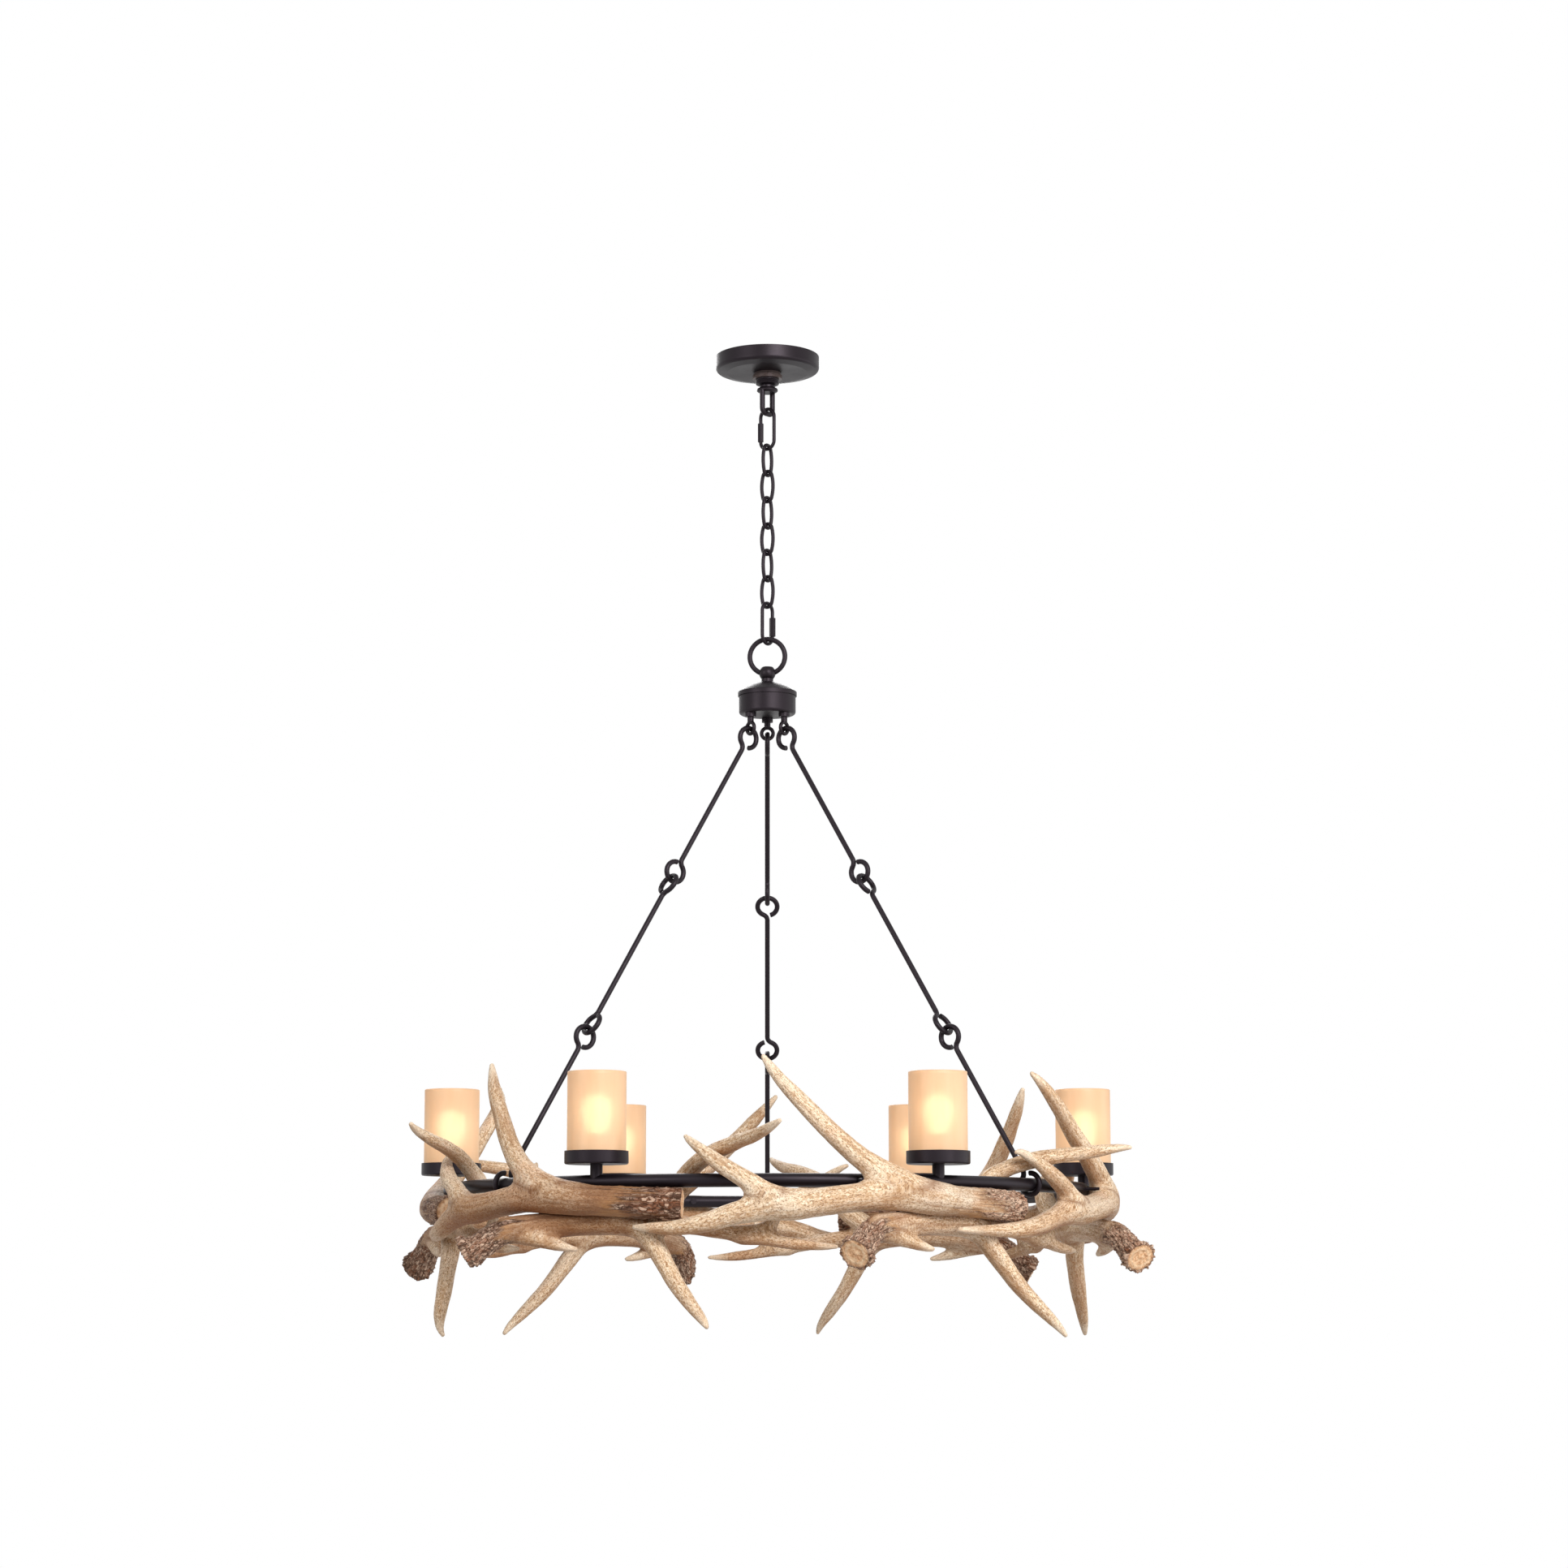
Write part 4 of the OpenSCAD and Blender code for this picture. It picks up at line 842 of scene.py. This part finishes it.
def antler_material():
    """Horn skin, bark and sawn face, each where the mesh's masks put it."""
    m = Nodes("antler_horn")
    grain = m.attr("grain", True)
    look = {name: m.attr(name) for name in MASKS}
    for name, (cells, detail, rough, swirl) in GRAIN_NOISE.items():
        look[name] = m.noise(m.scaled(grain, cells), 1.0, detail, rough, swirl)
    plates = m.warped(m.scaled(grain, PLATE_CELLS), PLATE_WARP, 0.7)
    look["split"] = m.voronoi(plates, 1.0, "DISTANCE_TO_EDGE", "Distance")
    # the bark's border follows the streaks
    ragged = m.math("MULTIPLY", m.math("SUBTRACT", look["streak"], 0.5), BORDER_WANDER)
    ragged = m.math("ADD", look["bark"], ragged)
    over = m.math("MULTIPLY", m.span(ragged, 0.22, 0.70), m.span(look["bark"], 0.0, 0.12))
    color = m.mix(over, antler_skin(m, look), antler_bark(m, look, plates))
    color = m.mix(m.span(look["cut"], 0.3, 0.7), color, sawn_face(m, look))
    look["pebbles"] = m.math("MULTIPLY", look["pebble"], over)
    look["splits"] = m.math("MULTIPLY", m.span(look["split"], 0.0, 0.16), over)
    normal = None
    for source, depth, strength in HORN_BUMPS:
        normal = m.bump(look[source], depth, strength, normal)
    m.set(Specular_IOR_Level=0.16, Specular_Tint=(1.0, 0.85, 0.68, 1))
    return m.finish(color, m.span(look["fleck"], 0.3, 0.7, 0.66, 0.48), normal)


# Colours and roughness of the other materials; a list goes along a noise
BRONZE, BRONZE_ROUGH = (0.0052, 0.0036, 0.0048), 0.42
WORN_BRONZE, WORN_ROUGH = (0.080, 0.058, 0.052), 0.36
ZINC = [(0.35, (0.42, 0.42, 0.41)), (0.65, (0.62, 0.62, 0.60))]
SOCKET_CREAM = [(0.35, (0.62, 0.56, 0.46)), (0.65, (0.78, 0.73, 0.63))]
BULB_WARM = [(0.3, (1.0, 0.86, 0.62)), (0.7, (1.0, 0.93, 0.78))]
BULB_BODY, BULB_GLOW = (0.42, 0.40, 0.37), 8.5
GLASS = [(0.3, (0.66, 0.45, 0.28)), (0.7, (0.72, 0.52, 0.35))]
GLASS_WARM = [(0.0, (0.86, 0.50, 0.22)), (0.5, (0.95, 0.62, 0.31)), (1.0, (1.0, 0.74, 0.42))]
GLASS_TOP, GLASS_FOOT = (0.55, 0.34, 0.17), (0.64, 0.42, 0.24)
# The glass's emission is a painted glow that stands in for the bulb's light spread in the frosted glass
GLASS_GLOW, GLASS_CLEAR, GLASS_ROUGH = 0.165, 0.35, 0.44
# Heights above the glass's foot, in metres: the middle of its glow and how far that
# spreads, where the cut edge at the top starts and is full, and where the foot ends
GLOW_MIDDLE, GLOW_REACH = 0.0535, 0.045
TOP_START, TOP_FULL = SHADE_H - 0.0025, SHADE_H - 0.0002
FOOT_END = 0.016


def darker_to_lighter(color, low, high):
    """A ramp from a darker to a lighter shade of one colour."""
    return [(0.3, tuple(x * low for x in color)), (0.7, tuple(x * high for x in color))]


def metal_material(name, color, rough):
    """Dark bronze coat, a little uneven in colour and gloss."""
    m = Nodes(name)
    co = m.coords()
    wide = m.noise(co, 24, 2, 0.5)
    fine = m.noise(co, 1400, 2, 0.5)
    coat = m.ramp(wide, darker_to_lighter(color, 0.9, 1.15))
    both = m.math("ADD", m.math("MULTIPLY", wide, 0.6), m.math("MULTIPLY", fine, 0.4))
    gloss = m.span(both, 0.3, 0.7, rough - 0.05, rough + 0.06)
    m.set(Specular_IOR_Level=0.23, Specular_Tint=(0.99, 0.84, 0.96, 1))
    return m.finish(coat, gloss, m.bump(wide, 0.0004, 0.2))


def steel_material():
    """Zinc-plated steel."""
    m = Nodes("zinc_plate")
    co = m.coords()
    blotch = m.noise(co, 220, 4, 0.6)
    zinc = m.ramp(blotch, ZINC)
    gloss = m.span(blotch, 0.3, 0.7, 0.32, 0.5)
    m.set(Metallic=1.0)
    return m.finish(zinc, gloss, m.bump(m.noise(co, 900, 3), 0.0001, 0.4))


def socket_material():
    """Cream socket shells."""
    m = Nodes("socket_shell")
    co = m.coords()
    cream = m.ramp(m.noise(co, 90, 4, 0.6), SOCKET_CREAM)
    return m.finish(cream, 0.55, m.bump(m.noise(co, 700, 3), 0.0001, 0.3))


def bulb_material():
    """Lit opal bulbs. They light the shades from inside."""
    m = Nodes("bulb_opal")
    warm = m.ramp(m.noise(m.coords(), 60, 2, 0.5), BULB_WARM)
    m.link(warm, m.bsdf.inputs["Emission Color"])
    m.set(Emission_Strength=BULB_GLOW)
    return m.finish(m.mix(1.0, warm, BULB_BODY, "MULTIPLY"), 0.3)


def shade_material():
    """Frosted amber glass: the bulb shows through it as a soft bright spot, and the glass itself has a painted
    glow, brightest at the bulb's height.
    """
    m = Nodes("amber_glass")
    co = m.attr("local", True)
    parts = m.add("ShaderNodeSeparateXYZ")
    m.link(co, parts.inputs[0])
    up = parts.outputs["Z"]
    # painted glow: the glass itself emits light, most at the bulb's height
    off = m.math("DIVIDE", m.math("SUBTRACT", up, GLOW_MIDDLE), GLOW_REACH)
    glow = m.math("EXPONENT", m.math("MULTIPLY", m.math("MULTIPLY", off, off), -1.0))
    mottle = m.noise(m.scaled(co, (60, 60, 9)), 1.0, 4, 0.55)
    tone = m.math("ADD", glow, m.math("MULTIPLY", m.math("SUBTRACT", mottle, 0.5), 0.30))
    warm = m.ramp(tone, GLASS_WARM)
    # the cut edge at the top and the foot in the cup glow less
    warm = m.mix(m.span(up, TOP_START, TOP_FULL, 0.0, 0.45), warm, GLASS_TOP)
    warm = m.mix(m.span(up, FOOT_END, 0.0, 0.0, 0.25), warm, GLASS_FOOT)
    m.link(warm, m.bsdf.inputs["Emission Color"])
    m.set(Emission_Strength=GLASS_GLOW, Transmission_Weight=GLASS_CLEAR, Specular_IOR_Level=0.22)
    return m.finish(m.ramp(mottle, GLASS), GLASS_ROUGH, m.bump(mottle, 0.0003, 0.2))


METAL = metal_material("bronze_coat", BRONZE, BRONZE_ROUGH)
NUT = metal_material("worn_bronze", WORN_BRONZE, WORN_ROUGH)
SHADE = shade_material()
HORN = antler_material()
BY_SLOT = {"dark_metal": METAL, "zinc_steel": steel_material(), "socket": socket_material(),
           "bulb_glass": bulb_material(), "amber_glass": SHADE, "antler": HORN}


def dress_cad_nodes():
    """Every CAD node gets the material of its slot. The collar nut is rubbed paler."""
    for sub in frame["record"]["subparts"]:
        ob = frame["nodes"][sub["node"]]
        ob.data.materials.clear()
        ob.data.materials.append(NUT if sub["node"] == "collar_nut" else BY_SLOT[sub["material_slot"]])


def build_shade(k, turn):
    """An open glass tube with rounded edges, standing in its cup."""
    inner, e, tall = SHADE_R - GLASS_WALL, GLASS_EDGE, SHADE_H - 2 * GLASS_EDGE
    steps = GLASS_STEPS_UP
    prof = [(inner, e), (inner + e, 0), (SHADE_R - e, 0), (SHADE_R, e)]
    prof += [(SHADE_R, e + tall * i / steps) for i in range(1, steps + 1)]
    prof += [(SHADE_R - e, SHADE_H), (inner + e, SHADE_H)]
    prof += [(inner, SHADE_H - e - tall * i / steps) for i in range(steps)]
    verts, faces = lathe(prof, GLASS_STEPS_ROUND)
    local = np.array(verts)
    a = math.radians(turn)
    place = (RING_R * math.sin(a), -RING_R * math.cos(a), SHADE_FOOT)
    ob = new_object("glass_shade_%d" % k, local + place, faces, "glass_%d" % k,
                    "shade_%d" % k)
    add_vectors(ob.data, "local", local + (0.13 * k, 0, 0))
    ob.data.materials.append(SHADE)


def build_antlers():
    upper_base = antler_base("upper")
    lower_base = antler_base("lower")
    for k in range(ANTLER_PAIRS):
        turn = PAIR_TURN * k
        build_antler("horn_upper_%d" % (k + 1), "upper_antler_%d" % (k + 1), "upper", k,
                     upper_base, turn, UPPER_SEED + k, HORN)
        build_antler("horn_lower_%d" % (k + 1), "lower_antler_%d" % (k + 1), "lower", k,
                     lower_base, LOWER_TURN + turn, LOWER_SEED + k, HORN)


# Stage, world, lamps and camera
def white_ray(tree):
    """1 for the rays that see the white background: camera, glossy and transmission."""
    path = tree.nodes.new("ShaderNodeLightPath")
    seen = path.outputs["Is Camera Ray"]
    for kind in ("Is Glossy Ray", "Is Transmission Ray"):
        top = tree.nodes.new("ShaderNodeMath")
        top.operation = "MAXIMUM"
        tree.links.new(seen, top.inputs[0])
        tree.links.new(path.outputs[kind], top.inputs[1])
        seen = top.outputs[0]
    return seen


def either(m, fac, first, second):
    """The first shader where fac is 0 and the second where it is 1."""
    n = m.add("ShaderNodeMixShader")
    m.link(fac, n.inputs[0])
    m.link(first.outputs[0], n.inputs[1])
    m.link(second.outputs[0], n.inputs[2])
    return n


def emission(m, strength):
    n = m.add("ShaderNodeEmission")
    n.inputs["Strength"].default_value = strength
    return n


def floor_material():
    """White paper. Near the object the lamps light it, so that the object's shadow shows;
    from below it lets the object through; other rays meet a plain grey floor."""
    m = Nodes("pale_floor")
    m.set(Base_Color=(FLOOR_GREY, FLOOR_GREY, FLOOR_GREY, 1), Roughness=0.9, Specular_IOR_Level=0.0)
    place = m.add("ShaderNodeNewGeometry")
    reach = m.add("ShaderNodeVectorMath", operation="LENGTH")
    m.link(m.scaled(place.outputs["Position"], (1, 1, 0)), reach.inputs[0])
    lit = m.add("ShaderNodeBsdfDiffuse")
    lit.inputs["Color"].default_value = (FLOOR_LIT, FLOOR_LIT, FLOOR_LIT, 1)
    near = m.add("ShaderNodeAddShader")
    m.link(lit.outputs[0], near.inputs[0])
    m.link(emission(m, FLOOR_GLOW).outputs[0], near.inputs[1])
    far = m.span(reach.outputs["Value"], NEAR_IN, NEAR_OUT)
    seen = either(m, far, near, emission(m, PAPER_WHITE))
    above = either(m, white_ray(m.tree), m.bsdf, seen)
    below = m.add("ShaderNodeBsdfTransparent")
    both = either(m, place.outputs["Backfacing"], above, below)
    m.link(both.outputs[0], m.out.inputs["Surface"])
    return m.mat


def build_floor():
    corners = [(-FLOOR_HALF, -FLOOR_HALF, FLOOR_Z), (FLOOR_HALF, -FLOOR_HALF, FLOOR_Z),
               (FLOOR_HALF, FLOOR_HALF, FLOOR_Z), (-FLOOR_HALF, FLOOR_HALF, FLOOR_Z)]
    mesh = bpy.data.meshes.new("floor")
    mesh.from_pydata(corners, [], [(0, 1, 2, 3)])
    mesh.materials.append(floor_material())
    ob = bpy.data.objects.new("floor", mesh)
    scene.collection.objects.link(ob)


def background(tree, strength):
    n = tree.nodes.new("ShaderNodeBackground")
    n.inputs["Color"].default_value = (1, 1, 1, 1)
    n.inputs["Strength"].default_value = strength
    return n


def build_world():
    """Soft studio light, seen as white paper."""
    world = bpy.data.worlds.new("studio")
    scene.world = world
    world.use_nodes = True
    tree = world.node_tree
    tree.nodes.clear()
    which = tree.nodes.new("ShaderNodeMixShader")
    tree.links.new(white_ray(tree), which.inputs[0])
    tree.links.new(background(tree, STUDIO_LIGHT).outputs[0], which.inputs[1])
    tree.links.new(background(tree, PAPER_WHITE).outputs[0], which.inputs[2])
    tree.links.new(which.outputs[0], tree.nodes.new("ShaderNodeOutputWorld").inputs["Surface"])


def add_lamp(name, place, aim, size, power):
    lamp = bpy.data.lights.new(name, "AREA")
    lamp.shape = "RECTANGLE"
    lamp.size, lamp.size_y = size
    lamp.energy = power
    ob = bpy.data.objects.new(name, lamp)
    ob.location = place
    ob.rotation_euler = (Vector(aim) - Vector(place)).to_track_quat("-Z", "Y").to_euler()
    scene.collection.objects.link(ob)


def add_camera():
    cam = bpy.data.cameras.new("camera")
    cam.sensor_width = SENSOR_MM
    cam.lens = FOCAL_PX / PHOTO_PX * SENSOR_MM
    cam.shift_x = SHIFT_PX / PHOTO_PX
    cam.clip_end = SIGHT_END
    ob = bpy.data.objects.new("camera", cam)
    ob.location = (0.0, -CAMERA_BACK, RING_Z - CAMERA_UNDER_RING)
    ob.rotation_euler = (math.radians(90 + CAMERA_TILT), 0, 0)
    scene.collection.objects.link(ob)
    scene.camera = ob


dress_cad_nodes()
for number, turn in enumerate(LIGHT_TURNS, 1):
    build_shade(number, turn)
build_antlers()
build_floor()
build_world()
for lamp in LAMPS:
    add_lamp(*lamp)
add_camera()
scene.view_settings.view_transform = "Standard"
